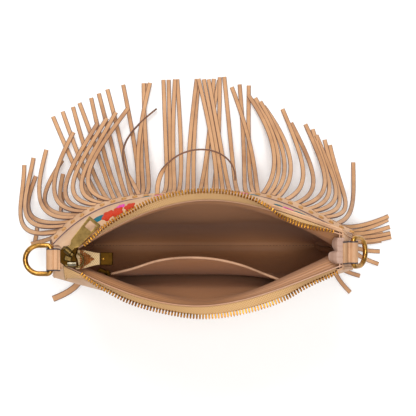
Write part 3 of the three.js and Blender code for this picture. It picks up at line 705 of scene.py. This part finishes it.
def sack_point(side, u, v):
    along = lerp(-1, 1, u)
    if v < ROUND_SHARE:
        t = v / ROUND_SHARE
        low, across = (sack_seat(face, along, SACK_LOW) for face in (side, -side))
        high = sack_seat(side, along, SAG[side]["round"])
        seam = (low + across) / 2
        rise = Vector((0, 0, CLOTH / 2 * (1 - t)))
        return seam.lerp(low, t).lerp(low.lerp(high, t), t) + rise
    z = sack_height(side, v)
    sewn = shell(BODY, side, along, z, -SEWN_IN)
    return sack_seat(side, along, z).lerp(sewn, smoothstep(z, RIM_Z - 14, RIM_Z - 2))


def sack_tone(side, u, v):
    z = sack_height(side, v)
    facing = smoothstep(z, FACING_Z - 1, FACING_Z + 1) if side > 0 else 0.0
    far_half = lerp(0, 0.12, smoothstep(u, 0.5, 0.36))
    # Painted shade: the back lining below the facing is darkened.
    below = 0.12 * (1 - facing) if side > 0 else 0.0
    # Painted highlight: a pale line along the rim where the lining meets the tape.
    return far_half * facing - below + 0.2 * smoothstep(z, RIM_Z - 2, RIM_Z)


lining_cloth = faille("lining_faille", screen(176, 124, 82), screen(144, 98, 62), screen(200, 161, 138))
bm = bmesh.new()
for side in (-1, 1):
    lay_sheet(
        bm, 110, 80, lambda u, v: sack_point(side, u, v), (300, 210), lambda u, v: sack_tone(side, u, v),
    )
bmesh.ops.remove_doubles(bm, verts=bm.verts, dist=0.00005)
bmesh.ops.recalc_face_normals(bm, faces=bm.faces)
sack = make_piece("lining_sack", bm, (lining_cloth,), stands_for=("lining",))
thicken(sack, CLOTH)
# The bottom stitches are coloured dark brown: thread with painted shade along the bottom fold.
seam_shadow = thread("bottom_thread_painted_shade", screen(88, 60, 42), screen(64, 43, 30))
bottom_line = []
for i in range(61):
    along = lerp(-0.9, 0.9, i / 60)
    bottom_line.append((sack_point(1, (along + 1) / 2, 0) + Vector((0, 0, 0.8)), Vector((0, 0, 1))))
stitch_row("bottom_stitches", bottom_line, seam_shadow, "lining", **SEAM_STITCH)


# Two lobes of lining at the far end of the mouth, where the zip stops: they lie over the rim, tucked
# under the tab, and droop into the bag. Same faille, paler where the light falls on it.
LOBES = table(
    ("y", "tip_x"), (-14.3, -117.2), (-11.5, -115.2), (-7, -115), (-3.6, -116.6), (-2.4, -117),
    (-0.8, -112.6), (2, -111.6), (5.5, -112.4), (8.2, -116),
)
LOBE_FROM = -124.3
LOBE_BEND = -118.7
LOBE_DROOP = 6.5
LOBE_OVER = 0.9


def lobe_point(u, v):
    y = lerp(LOBES[0]["y"], LOBES[-1]["y"], u)
    tip = row_at(LOBES, "y", y)["tip_x"]
    past = clamp(v * 2 - 1, 0, 1)
    x = lerp(LOBE_FROM, LOBE_BEND, min(v * 2, 1)) + (tip - LOBE_BEND) * past
    pucker = 0.2 * math.sin(y * 1.3) * (1 - past)
    return Vector((x, y, RIM_Z + LOBE_OVER + pucker - LOBE_DROOP * past ** 1.6))


bm = bmesh.new()
lay_sheet(bm, 60, 20, lobe_point, (23, 16), lambda u, v: 0.3 * smoothstep(v, 0.88, 1))
lobe_cloth = faille("lobe_faille", screen(170, 136, 118), screen(150, 117, 100), screen(206, 178, 162), 0.4)
lobes = make_piece("lining_lobes", bm, (lobe_cloth,), stands_for=("lining_flaps",))
thicken(lobes, CLOTH, 0.3)


# Slip pocket: a flat piece of the lining cloth sewn to the back of the sack, standing open,
# its top edge bound in a folded strip of light brown leather.
POCKET_TOP = 137
POCKET_BOTTOM = 62
POCKET_OFF = 4.6
BINDING = 2.6
POCKET_EDGE = table(
    ("x", "y"), (-72, 27), (-58, 21.5), (-34, 12.5), (-8, 7), (20, 6), (43, 9), (67, 16.5), (86, 21),
)


def pocket_point(u, rise):
    x = lerp(POCKET_EDGE[0]["x"], POCKET_EDGE[-1]["x"], u)
    z = lerp(POCKET_BOTTOM, POCKET_TOP, rise)
    wall = shell(SACK, 1, along_at(x, row_at(SACK, "z", z)["half"]), z, -POCKET_OFF)
    y = min(row_at(POCKET_EDGE, "x", x)["y"], wall.y)
    return Vector((x, lerp(wall.y, y, rise ** 1.4), z))


bm = bmesh.new()
lay_sheet(bm, 70, 36, pocket_point, (170, 82), lambda u, v: 0.06)
pocket = make_piece("pocket", bm, (lining_cloth,), stands_for=("slip_pocket",))
thicken(pocket, CLOTH)
brown = tan_leather(
    "brown_leather", screen(206, 166, 132), screen(184, 142, 110), screen(150, 112, 84), 0.5,
)
bm = bmesh.new()
over_edge = Vector((0, 0, 0.3 + BINDING / 2))
lay_tube(bm, [pocket_point(i / 70, 1) + over_edge for i in range(71)], BINDING / 2, 12)
make_piece("pocket_edge", bm, (brown,), stands_for=("pocket_binding",))


# Small brass fitting folded over the end of the pocket binding.
def old_brass(name, light, dark, rough):
    finish = new_finish(name, rough, 1.0)
    here = node(finish, "TexCoord", {}).outputs["Object"]
    patina = node(finish, "TexNoise", {"Vector": here, "Scale": 130, "Detail": 6, "Roughness": 0.7})
    dull = node(finish, "Math", {0: patina.outputs["Fac"], 1: rough}, operation="MULTIPLY")
    dulled = node(finish, "Math", {0: dull.outputs[0], 1: rough * 0.5}, operation="ADD")
    pits = node(finish, "TexNoise", {"Vector": here, "Scale": 700, "Detail": 2})
    bumps = node(finish, "Bump", {"Height": pits.outputs["Fac"], "Strength": 0.12, "Distance": 0.0004})
    to_surface(finish, "Base Color", tones(finish, patina.outputs["Fac"], (0.35, dark), (0.65, light)))
    to_surface(finish, "Roughness", dulled.outputs[0])
    to_surface(finish, "Normal", bumps.outputs["Normal"])
    return finish


def block(bm, size, turn, place, edge):
    """A block with worn edges; turn is degrees about Z, sizes and place in millimetres."""
    made = bmesh.ops.create_cube(bm, size=1)["verts"]
    bmesh.ops.scale(bm, vec=size, verts=made)
    edges = {link for vert in made for link in vert.link_edges}
    made = bmesh.ops.bevel(
        bm, geom=list(edges), offset=edge, segments=2, profile=0.5, affect="EDGES", material=-1,
    )["verts"]
    bmesh.ops.rotate(bm, verts=made, matrix=Matrix.Rotation(math.radians(turn), 3, "Z"))
    bmesh.ops.translate(bm, vec=place, verts=made)
    return made


def verts_of(parts):
    return [part for part in parts if isinstance(part, bmesh.types.BMVert)]


brass = old_brass("brass", screen(206, 150, 66), screen(150, 98, 36), 0.34)
antique = old_brass("antique_brass", screen(114, 92, 52), screen(68, 52, 26), 0.4)
dark_brass = old_brass("dark_brass", screen(70, 46, 11), screen(44, 28, 6), 0.45)
FITTING = table(
    ("size", "turn", "place", "edge"),
    ((12, 3.2, 6), -24, (91.8, 18.8, 138.6), 0.5),
    ((9, 2.6, 4), -6, (93, 22.6, 138.4), 0.5),
    ((2.4, 6.5, 3), 10, (88.4, 20.4, 140.8), 0.5),
    ((3.4, 3, 3), 30, (97, 18.4, 140.2), 0.6),
)
bm = bmesh.new()
for bit in FITTING:
    block(bm, **bit)
to_metres(bm)
make_piece("pocket_fitting", bm, (dark_brass,), stands_for=("pocket_clip",))


# Zip tapes: golden woven cotton, sewn between the rim and the lining. They rise past the rim and
# lean outwards along the middle of the mouth, inwards near its corners.
TAPE_THICK = 0.8
TAPE_INSET = LEATHER + 0.6 + TAPE_THICK / 2
TAPE_SEWN = 5
TAPE_RISE = 1.4
LEAN = ("x", "angle", "free")
MOUTH = {
    "front": (-1, -116, 106.5, table(
        LEAN, (-124, 4, 2.5), (-110, -18, 2.5), (-96, -60, 2.5), (-87, -70, 3), (-78, -66, 2.5),
        (-70, -44, 2.5), (-62, -2, 4), (-51, 22, 6.5), (-33, 44, 7), (1, 53, 7), (40, 58, 7), (61, 40, 7),
        (77, 31, 7), (88, 22, 6.5), (97, 2, 5), (110, -22, 4),
    )),
    "back": (1, -118, 108.5, table(
        LEAN, (-124, 12, 4), (-113, 22, 5), (-104, 21, 6), (-96, 20, 7), (-83, 32, 7), (-69, 55, 7),
        (-42, 70, 7), (1, 54, 7), (28, 38, 7), (64, 30, 7), (80, 17, 7), (91, 10, 7), (96, 6, 6),
        (103, -4, 5), (110, -18, 5),
    )),
}


def tape_edge(lip, share):
    """How far the toothed edge of the tape stands above the rim, measured along the tape."""
    side, start, stop, lean_rows = MOUTH[lip]
    return TAPE_RISE + row_at(lean_rows, "x", lerp(start, stop, share))["free"]


def tape_point(lip, share, rise, lift=0.0):
    side, start, stop, lean_rows = MOUTH[lip]
    x = lerp(start, stop, share)
    rim = row_at(BODY, "z", RIM_Z)
    along = along_at(x, rim["half"])
    out = plan_normal(rim, side, along)
    lean = math.radians(row_at(lean_rows, "x", x)["angle"])
    turned = lean * smoothstep(rise, 0, 2 * TAPE_RISE)
    point = shell(BODY, side, along, RIM_Z + min(rise, 0), -TAPE_INSET)
    point.z += clamp(rise, 0, TAPE_RISE)
    free = max(rise - TAPE_RISE, 0)
    point += out * (math.sin(lean) * free + math.cos(turned) * lift)
    point.z += math.cos(lean) * free - math.sin(turned) * lift
    return point


def woven_tape(name, light, dark):
    finish = new_finish(name, 0.8)
    finish.node_tree.nodes["Principled BSDF"].inputs["Sheen Weight"].default_value = 0.1
    flat = node(finish, "UVMap", {}, uv_map="cut").outputs["UV"]
    turned = node(finish, "Mapping", {"Vector": flat, "Scale": (-1, 1, 1)})
    rows, cross = (
        node(finish, "TexWave", {
            "Vector": way, "Scale": 260, "Distortion": 0.6,
        }, bands_direction="DIAGONAL").outputs["Fac"]
        for way in (flat, turned.outputs["Vector"])
    )
    twill = node(finish, "Math", {0: rows, 1: cross}, operation="MAXIMUM").outputs[0]
    weave = node(finish, "Bump", {"Height": twill, "Strength": 0.6, "Distance": 0.0004})
    to_surface(finish, "Base Color", tones(finish, twill, (0.2, dark), (0.8, light)))
    to_surface(finish, "Normal", weave.outputs["Normal"])
    return finish


golden = woven_tape("golden_tape", screen(200, 159, 108), screen(170, 126, 76))
for lip in MOUTH:
    bm = bmesh.new()
    lay_sheet(
        bm, 120, 16,
        lambda u, v: tape_point(lip, u, lerp(-TAPE_SEWN, tape_edge(lip, u), v)), (235, 13.4),
    )
    tape = make_piece(lip + "_tape", bm, (golden,), stands_for=("zip_tape_" + lip,))
    thicken(tape, TAPE_THICK)


# The end of the back tape is turned out over the corner of the rim beside the slider, caught down
# along the rim and standing off the leather with its cut end.
END_FROM = 0.58
END_TO = 0.955
END_OUT = (1.5, 8.6)
END_RISE = 0.9
END_DROP = 5


def turned_end(u, v):
    wide = TAPE_INSET + lerp(*END_OUT, smoothstep(u, 0, 0.85))
    caught = shell(BODY, 1, lerp(END_FROM, END_TO, u), RIM_Z, -TAPE_INSET)
    return caught + Vector((0, wide * v, lerp(END_RISE, -END_DROP, v * v)))


bm = bmesh.new()
lay_sheet(bm, 20, 14, turned_end, (26, 10))
tape_end = make_piece("back_tape_end", bm, (golden,))
thicken(tape_end, TAPE_THICK)


# Zip teeth: bright brass, each tooth a small cast block clamped over the edge of its tape,
# with a nib on its head and a dark gap to the next.
TOOTH_PITCH = 2.7
SHANK = (1.6, 3.4, 2.9)
NIB = (1.0, 1.2, 1.7)
for lip in MOUTH:
    line = [tape_point(lip, i / 400, tape_edge(lip, i / 400)) for i in range(401)]
    length = sum((b - a).length for a, b in zip(line, line[1:]))
    bm = bmesh.new()
    for share in even_shares(line, 2 * round(length / TOOTH_PITCH))[1::2]:
        edge = tape_edge(lip, share)
        foot = tape_point(lip, share, edge + 0.3)
        up = (tape_point(lip, share, edge + 3) - foot).normalized()
        run = tape_point(lip, min(share + 0.004, 1), edge) - tape_point(lip, max(share - 0.004, 0), edge)
        side = up.cross(run).normalized()
        run = side.cross(up)
        turn = Matrix((run, up, side)).transposed().to_4x4()
        turn.translation = foot
        shank = block(bm, SHANK, 0, (0, SHANK[1] / 2, 0), 0.3)
        nib = block(bm, NIB, 0, (0, SHANK[1] + 0.3, 0), 0.25)
        bmesh.ops.transform(bm, matrix=turn, verts=shank + nib)
    to_metres(bm)
    make_piece(lip + "_teeth", bm, (brass,), stands_for=("zip_teeth_" + lip,))


# Zip slider of antique brass: two dark plates on a post with folded flanges, a roller coloured pale
# silver as worn metal with a painted highlight, a wire loop towards the mouth and a crown of bent wire
# that holds the pull.
SLIDER_X = 116.8
SLIDER_Y = 1.5
PLATES = (180.4, 185.4)
PLATE_THICK = 1.6
CROWN = Vector((SLIDER_X, -3, 191))
CROWN_TURN = -40
CROWN_HALF = 4.4
SLIDER_HALF = ((7.7, 5.5), (4.5, 8.2), (-1, 9.9), (-7.7, 10), (-6.4, 3.2), (-5.2, 0))
POST = (4, 4, 4)
FLANGE = (9, 1.6, 4.6)
LEG = (2.8, 2.8, 6.2)
CATCH = (6.5, 5, 2.4)
BAR_ROUND = 1.2
LOOP_PLACE = Vector((110, 5.4, 185.4))
LOOP_ROUND = 5.6
ROLLER_PLACE = (113.9, 8, 188.2)
ROLLER_ROUND = 1.9
ROLLER_LONG = 7.4
# Pale silver for the roller: worn metal with a painted highlight.
silver_worn_and_highlit = old_brass("silver_worn_and_highlit", screen(164, 154, 132), screen(92, 80, 58), 0.3)
bm = bmesh.new()
for low in PLATES:
    corners = [bm.verts.new((SLIDER_X + x, SLIDER_Y + y, low)) for x, y in SLIDER_HALF]
    corners += [bm.verts.new((SLIDER_X + x, SLIDER_Y - y, low)) for x, y in reversed(SLIDER_HALF[:-1])]
    plate = bm.faces.new(corners)
    grown = bmesh.ops.extrude_face_region(bm, geom=[plate])["geom"]
    bmesh.ops.translate(bm, vec=(0, 0, PLATE_THICK), verts=verts_of(grown))
    bmesh.ops.recalc_face_normals(bm, faces=bm.faces)
    rims = [edge for edge in bm.edges if edge.calc_face_angle(0) > 1.2
            and all(abs(v.co.z - low - PLATE_THICK / 2) < 0.9 for v in edge.verts)]
    bmesh.ops.bevel(bm, geom=rims, offset=0.5, segments=2, profile=0.5, affect="EDGES", material=-1)
block(bm, POST, 0, (SLIDER_X, SLIDER_Y, 183.7), 0.3)
plate_faces = set(bm.faces)
for side in (-1, 1):
    block(bm, FLANGE, -side * 9, (SLIDER_X - 0.6, SLIDER_Y + side * 8.6, 185.2), 0.6)
    leg = CROWN + heading(90 + CROWN_TURN) * CROWN_HALF * side
    block(bm, LEG, CROWN_TURN, (leg.x, leg.y, 189.3), 0.6)
block(bm, CATCH, -14, (117.5, 3.4, 187.6), 0.9)
bar = bmesh.ops.create_cone(
    bm, cap_ends=True, segments=20, radius1=BAR_ROUND, radius2=BAR_ROUND, depth=2 * CROWN_HALF,
)["verts"]
bmesh.ops.rotate(bm, verts=bar, matrix=Matrix.Rotation(math.pi / 2, 3, "Y"))
bmesh.ops.rotate(bm, verts=bar, matrix=Matrix.Rotation(math.radians(CROWN_TURN), 3, "Z"))
bmesh.ops.translate(bm, vec=CROWN, verts=bar)
wire = bmesh.ops.create_circle(bm, segments=10, radius=0.9, cap_ends=True)["verts"]
bmesh.ops.rotate(bm, verts=wire, matrix=Matrix.Rotation(math.pi / 2, 3, "Y"))
bmesh.ops.translate(bm, vec=LOOP_PLACE - Vector((0, LOOP_ROUND, 0)), verts=wire)
wire_faces = list({face for vert in wire for face in vert.link_faces})
bmesh.ops.spin(bm, geom=wire_faces, cent=LOOP_PLACE, axis=(0, 0, 1), angle=-math.pi, steps=16)
bmesh.ops.recalc_face_normals(bm, faces=bm.faces)
crown_faces = set(bm.faces) - plate_faces
roller = bmesh.ops.create_cone(
    bm, cap_ends=True, segments=20, radius1=ROLLER_ROUND, radius2=ROLLER_ROUND, depth=ROLLER_LONG,
)["verts"]
bmesh.ops.rotate(bm, verts=roller, matrix=Matrix.Rotation(math.pi / 2, 3, "Y"))
bmesh.ops.translate(bm, vec=ROLLER_PLACE, verts=roller)
for face in bm.faces:
    face.material_index = 0 if face in plate_faces else 1 if face in crown_faces else 2
to_metres(bm)
make_piece(
    "slider_body", bm, (dark_brass, antique, silver_worn_and_highlit), stands_for=("zip_slider",),
)


# Zip pull: a flat antique brass tag that widens to a square window, with a rolled eye
# round the crown's bar. It rests over the corner of the mouth.
PULL_HALF = ((2.7, -2), (2.7, -6), (4.7, -9), (6.5, -35.5))
WINDOW = ((3.6, -25.7), (3.6, -32.9))
PULL_THICK = 1.6
PULL_SLOPE = 14
EYE = {"outer": 2.8, "inner": 1.6, "long": 5.4}
bm = bmesh.new()
rings = []
for half in (PULL_HALF, WINDOW):
    corners = [bm.verts.new((x, y, 0)) for x, y in half]
    corners += [bm.verts.new((-x, y, 0)) for x, y in reversed(half)]
    rings.append([bm.edges.new((a, b)) for a, b in zip(corners, corners[1:] + corners[:1])])
bmesh.ops.triangle_fill(bm, use_beauty=True, edges=rings[0] + rings[1], normal=(0, 0, 1))
window_faces = [
    face for face in bm.faces
    if all(WINDOW[1][1] - 0.1 < v.co.y < WINDOW[0][1] + 0.1 for v in face.verts)
]
bmesh.ops.delete(bm, geom=window_faces, context="FACES_ONLY")
bmesh.ops.dissolve_limit(bm, angle_limit=0.01, verts=bm.verts, edges=bm.edges)
bmesh.ops.translate(bm, vec=(0, 0, -PULL_THICK / 2), verts=bm.verts)
risen = bmesh.ops.extrude_face_region(bm, geom=bm.faces[:])
bmesh.ops.translate(bm, vec=(0, 0, PULL_THICK), verts=verts_of(risen["geom"]))
bmesh.ops.recalc_face_normals(bm, faces=bm.faces)
sharp = [edge for edge in bm.edges if edge.calc_face_angle(0) > 0.6]
bmesh.ops.bevel(bm, geom=sharp, offset=0.6, segments=2, profile=0.5, affect="EDGES", material=-1)
bm.normal_update()
for face in bm.faces:
    face.material_index = 0 if abs(face.normal.z) > 0.95 else 1
bmesh.ops.rotate(bm, verts=bm.verts, matrix=Matrix.Rotation(math.radians(PULL_SLOPE), 3, "X"))
eye = bmesh.ops.create_circle(bm, segments=24, radius=EYE["outer"])["verts"]
eye_edges = list({edge for vert in eye for edge in vert.link_edges})
inner = bmesh.ops.create_circle(bm, segments=24, radius=EYE["inner"])["verts"]
inner_edges = list({edge for vert in inner for edge in vert.link_edges})
eye_faces = bmesh.ops.bridge_loops(bm, edges=eye_edges + inner_edges)["faces"]
rolled = bmesh.ops.extrude_face_region(bm, geom=eye_faces)
rolled_verts = verts_of(rolled["geom"])
bmesh.ops.translate(bm, vec=(0, 0, EYE["long"]), verts=rolled_verts)
eye_verts = eye + inner + rolled_verts
bmesh.ops.translate(bm, vec=(0, 0, -EYE["long"] / 2), verts=eye_verts)
bmesh.ops.rotate(bm, verts=eye_verts, matrix=Matrix.Rotation(math.pi / 2, 3, "Y"))
bmesh.ops.recalc_face_normals(bm, faces=list({face for vert in eye_verts for face in vert.link_faces}))
bmesh.ops.rotate(bm, verts=bm.verts, matrix=Matrix.Rotation(math.radians(CROWN_TURN), 3, "Z"))
bmesh.ops.translate(bm, vec=CROWN, verts=bm.verts)
to_metres(bm)
# The tag's sides and bevels are a brighter gold than its faces: worn edges with a painted highlight.
edge_gold_worn_and_lit = old_brass("gold_edge_worn_and_highlit", screen(196, 160, 92), screen(146, 112, 58), 0.32)
make_piece("pull_tag", bm, (antique, edge_gold_worn_and_lit), body="pull", stands_for=("zip_pull",))


# Closed end of the zip, tucked inside below the slider: the doubled tape runs down into the bag
# and ends in a folded brass cap held by one small rivet. Its closed brass teeth are coloured a dark
# copper-brown as painted shade, for the shadow they lie in under the slider.
TAIL_X = 112
TAIL_Y = 5
TAIL_LONG = 19.5
TAIL_WIDE = (17, 10.6)
TAIL_Z = (179.1, 168)
CLOSED_TEETH_ROWS = 8
CLOSED_TEETH_PITCH = 1.75
CAP = (11.5, 11.4, 3.2)
CAP_END = 92.2
beige = woven_tape("beige_tape", screen(206, 178, 132), screen(168, 134, 92))
# Painted shade: the closed brass teeth get a dark copper-brown colour for the shadow under the slider.
shaded_closed_teeth_brass = old_brass("closed_teeth_painted_shade", screen(146, 84, 36), screen(84, 44, 18), 0.45)


def tail_point(u, v):
    wide = lerp(*TAIL_WIDE, smoothstep(v, 0.1, 1))
    return Vector((TAIL_X - TAIL_LONG * v, TAIL_Y + (u - 0.5) * wide, lerp(*TAIL_Z, v * (2 - v))))


bm = bmesh.new()
lay_sheet(bm, 10, 20, tail_point, (10.5, 24))
tail = make_piece("tail_tape", bm, (beige,), stands_for=("zip_tail",))
thicken(tail, 2, 0.4)
bm = bmesh.new()
for row in range(CLOSED_TEETH_ROWS):
    reach = row / (CLOSED_TEETH_ROWS - 1)
    count = round(lerp(10, 1, reach))
    for k in range(count):
        aside = Vector((0, (k - (count - 1) / 2) * CLOSED_TEETH_PITCH, 1.6))
        block(bm, (1.55, 1.55, 1.6), 45, tail_point(0.5, lerp(0.2, 0.72, reach)) + aside, 0.3)
to_metres(bm)
make_piece("closed_teeth", bm, (shaded_closed_teeth_brass,))
bm = bmesh.new()
block(bm, CAP, 0, (CAP_END - CAP[0] / 2, TAIL_Y, TAIL_Z[1]), 0.7)
rivet = bmesh.ops.create_uvsphere(bm, u_segments=16, v_segments=8, radius=1.5)["verts"]
bmesh.ops.translate(bm, vec=(CAP_END - 3, TAIL_Y, TAIL_Z[1] + 1.2), verts=rivet)
for face in {face for vert in rivet for face in vert.link_faces}:
    face.material_index = 1
to_metres(bm)
make_piece("tail_cap", bm, (dark_brass, brass), stands_for=("zip_end_cap",))


# Tabs: a leather strip folded round the straight bar of each D-ring and sewn into the end of the
# bag, with near-black painted edges.
NAVY = screen(34, 32, 46)
TAB_WIDE = 20
TAB_TOP = 176.5
TAB_THICK = 1.6
TAB_ROUND = 3.3
TAB_OFF = 1.1
PAINT_WIDE = 1.5
ENDS = table(
    ("name", "sign", "y", "z", "bar_x", "fall", "over_rim"),
    ("slider_end", 1, 5.5, 170, 136, 0, 0),
    ("far_end", -1, -1, 172, 134, 52, 1),
)
tab_tan = tan_leather(
    "tab_leather", screen(208, 168, 130), screen(194, 150, 111), screen(170, 126, 90), 0.5,
    TAB_WIDE, NAVY, PAINT_WIDE,
)
for end in ENDS:
    bm = bmesh.new()
    bar_x = end["bar_x"]
    wall = [(row_at(BODY, "z", end["z"] + z)["half"] + TAB_OFF, z) for z in (-2, TAB_TOP - end["z"])]
    angles = [math.radians(lerp(-150, 150, k / 24)) for k in range(25)]
    rounds = [(bar_x + TAB_ROUND * math.cos(a), TAB_ROUND * math.sin(a)) for a in angles]
    neck = (row_at(BODY, "z", end["z"] + 2)["half"] + 1.3, 1.6)
    profile = [wall[0], (bar_x - 3.6, -1.4)] + rounds + [(bar_x - 3.4, 1.5), neck, wall[1]]
    if end["over_rim"]:
        rim_x = row_at(BODY, "z", RIM_Z)["half"]
        profile += [(rim_x + 1.3, RIM_Z + 0.6 - end["z"]), (rim_x - 0.7, RIM_Z + 2.2 - end["z"])]

    def tab_point(u, v):
        k = v * (len(profile) - 1)
        i = min(int(k), len(profile) - 2)
        x = lerp(profile[i][0], profile[i + 1][0], k - i)
        z = lerp(profile[i][1], profile[i + 1][1], k - i)
        return Vector((end["sign"] * x, end["y"] + (u - 0.5) * TAB_WIDE, end["z"] + z))

    lay_sheet(bm, 8, len(profile) - 1, tab_point, (TAB_WIDE, 34))
    tab = make_piece(
        "tab_of_" + end["name"], bm, (tab_tan,), stands_for=("tab_" + end["name"],),
    )
    thicken(tab, TAB_THICK, 0.3)


# D-rings of antique brass wire, 4.6 mm, bent to a D with its straight bar in the tab.
# The slider-end ring lies level, the far one hangs down against the bag.
WIRE = 4.6
RING_WIDE = 29.9
RING_LONG = 27.4
CORNER = 3.4
ring_brass = old_brass("ring_brass", screen(212, 158, 78), screen(122, 84, 38), 0.3)
for end, body in zip(ENDS, ("slider_ring", "far_ring")):
    half = RING_WIDE / 2 - WIRE / 2
    straight = RING_LONG - WIRE / 2 - RING_WIDE / 2
    bm = bmesh.new()
    last = bmesh.ops.create_circle(bm, segments=14, radius=WIRE / 2)["verts"]
    bmesh.ops.rotate(bm, verts=last, matrix=Matrix.Rotation(math.pi / 2, 3, "X"))
    last = list(last) + list({edge for vert in last for edge in vert.link_edges})
    bends = (
        (2 * (half - CORNER), None, (0, 1, 0)),
        (None, ((CORNER, half - CORNER, 0), -90, 8), None),
        (straight - CORNER, None, (1, 0, 0)),
        (None, ((straight, 0, 0), -180, 32), None),
        (straight - CORNER, None, (-1, 0, 0)),
        (None, ((CORNER, CORNER - half, 0), -90, 8), None),
    )
    bmesh.ops.translate(bm, vec=(0, CORNER - half, 0), verts=verts_of(last))
    for run, arc, way in bends:
        if run is not None:
            grown = bmesh.ops.extrude_edge_only(
                bm, edges=[edge for edge in last if isinstance(edge, bmesh.types.BMEdge)],
            )["geom"]
            last = [part for part in grown if not isinstance(part, bmesh.types.BMFace)]
            bmesh.ops.translate(bm, vec=Vector(way) * run, verts=verts_of(last))
        else:
            centre, angle, steps = arc
            last = bmesh.ops.spin(
                bm, geom=last, cent=centre, axis=(0, 0, 1), angle=math.radians(angle), steps=steps,
            )["geom_last"]
    bmesh.ops.remove_doubles(bm, verts=bm.verts, dist=0.02)
    bmesh.ops.recalc_face_normals(bm, faces=bm.faces)
    for face in bm.faces:
        face.smooth = True
    bmesh.ops.rotate(bm, verts=bm.verts, matrix=Matrix.Rotation(math.radians(end["fall"]), 3, "Y"))
    if end["sign"] < 0:
        bmesh.ops.rotate(bm, verts=bm.verts, matrix=Matrix.Rotation(math.pi, 3, "Z"))
    bmesh.ops.translate(bm, vec=(end["sign"] * end["bar_x"], end["y"], end["z"]), verts=bm.verts)
    to_metres(bm)
    make_piece(
        "ring_of_" + end["name"], bm, (ring_brass,), body=body,
        stands_for=("ring_" + end["name"],),
    )
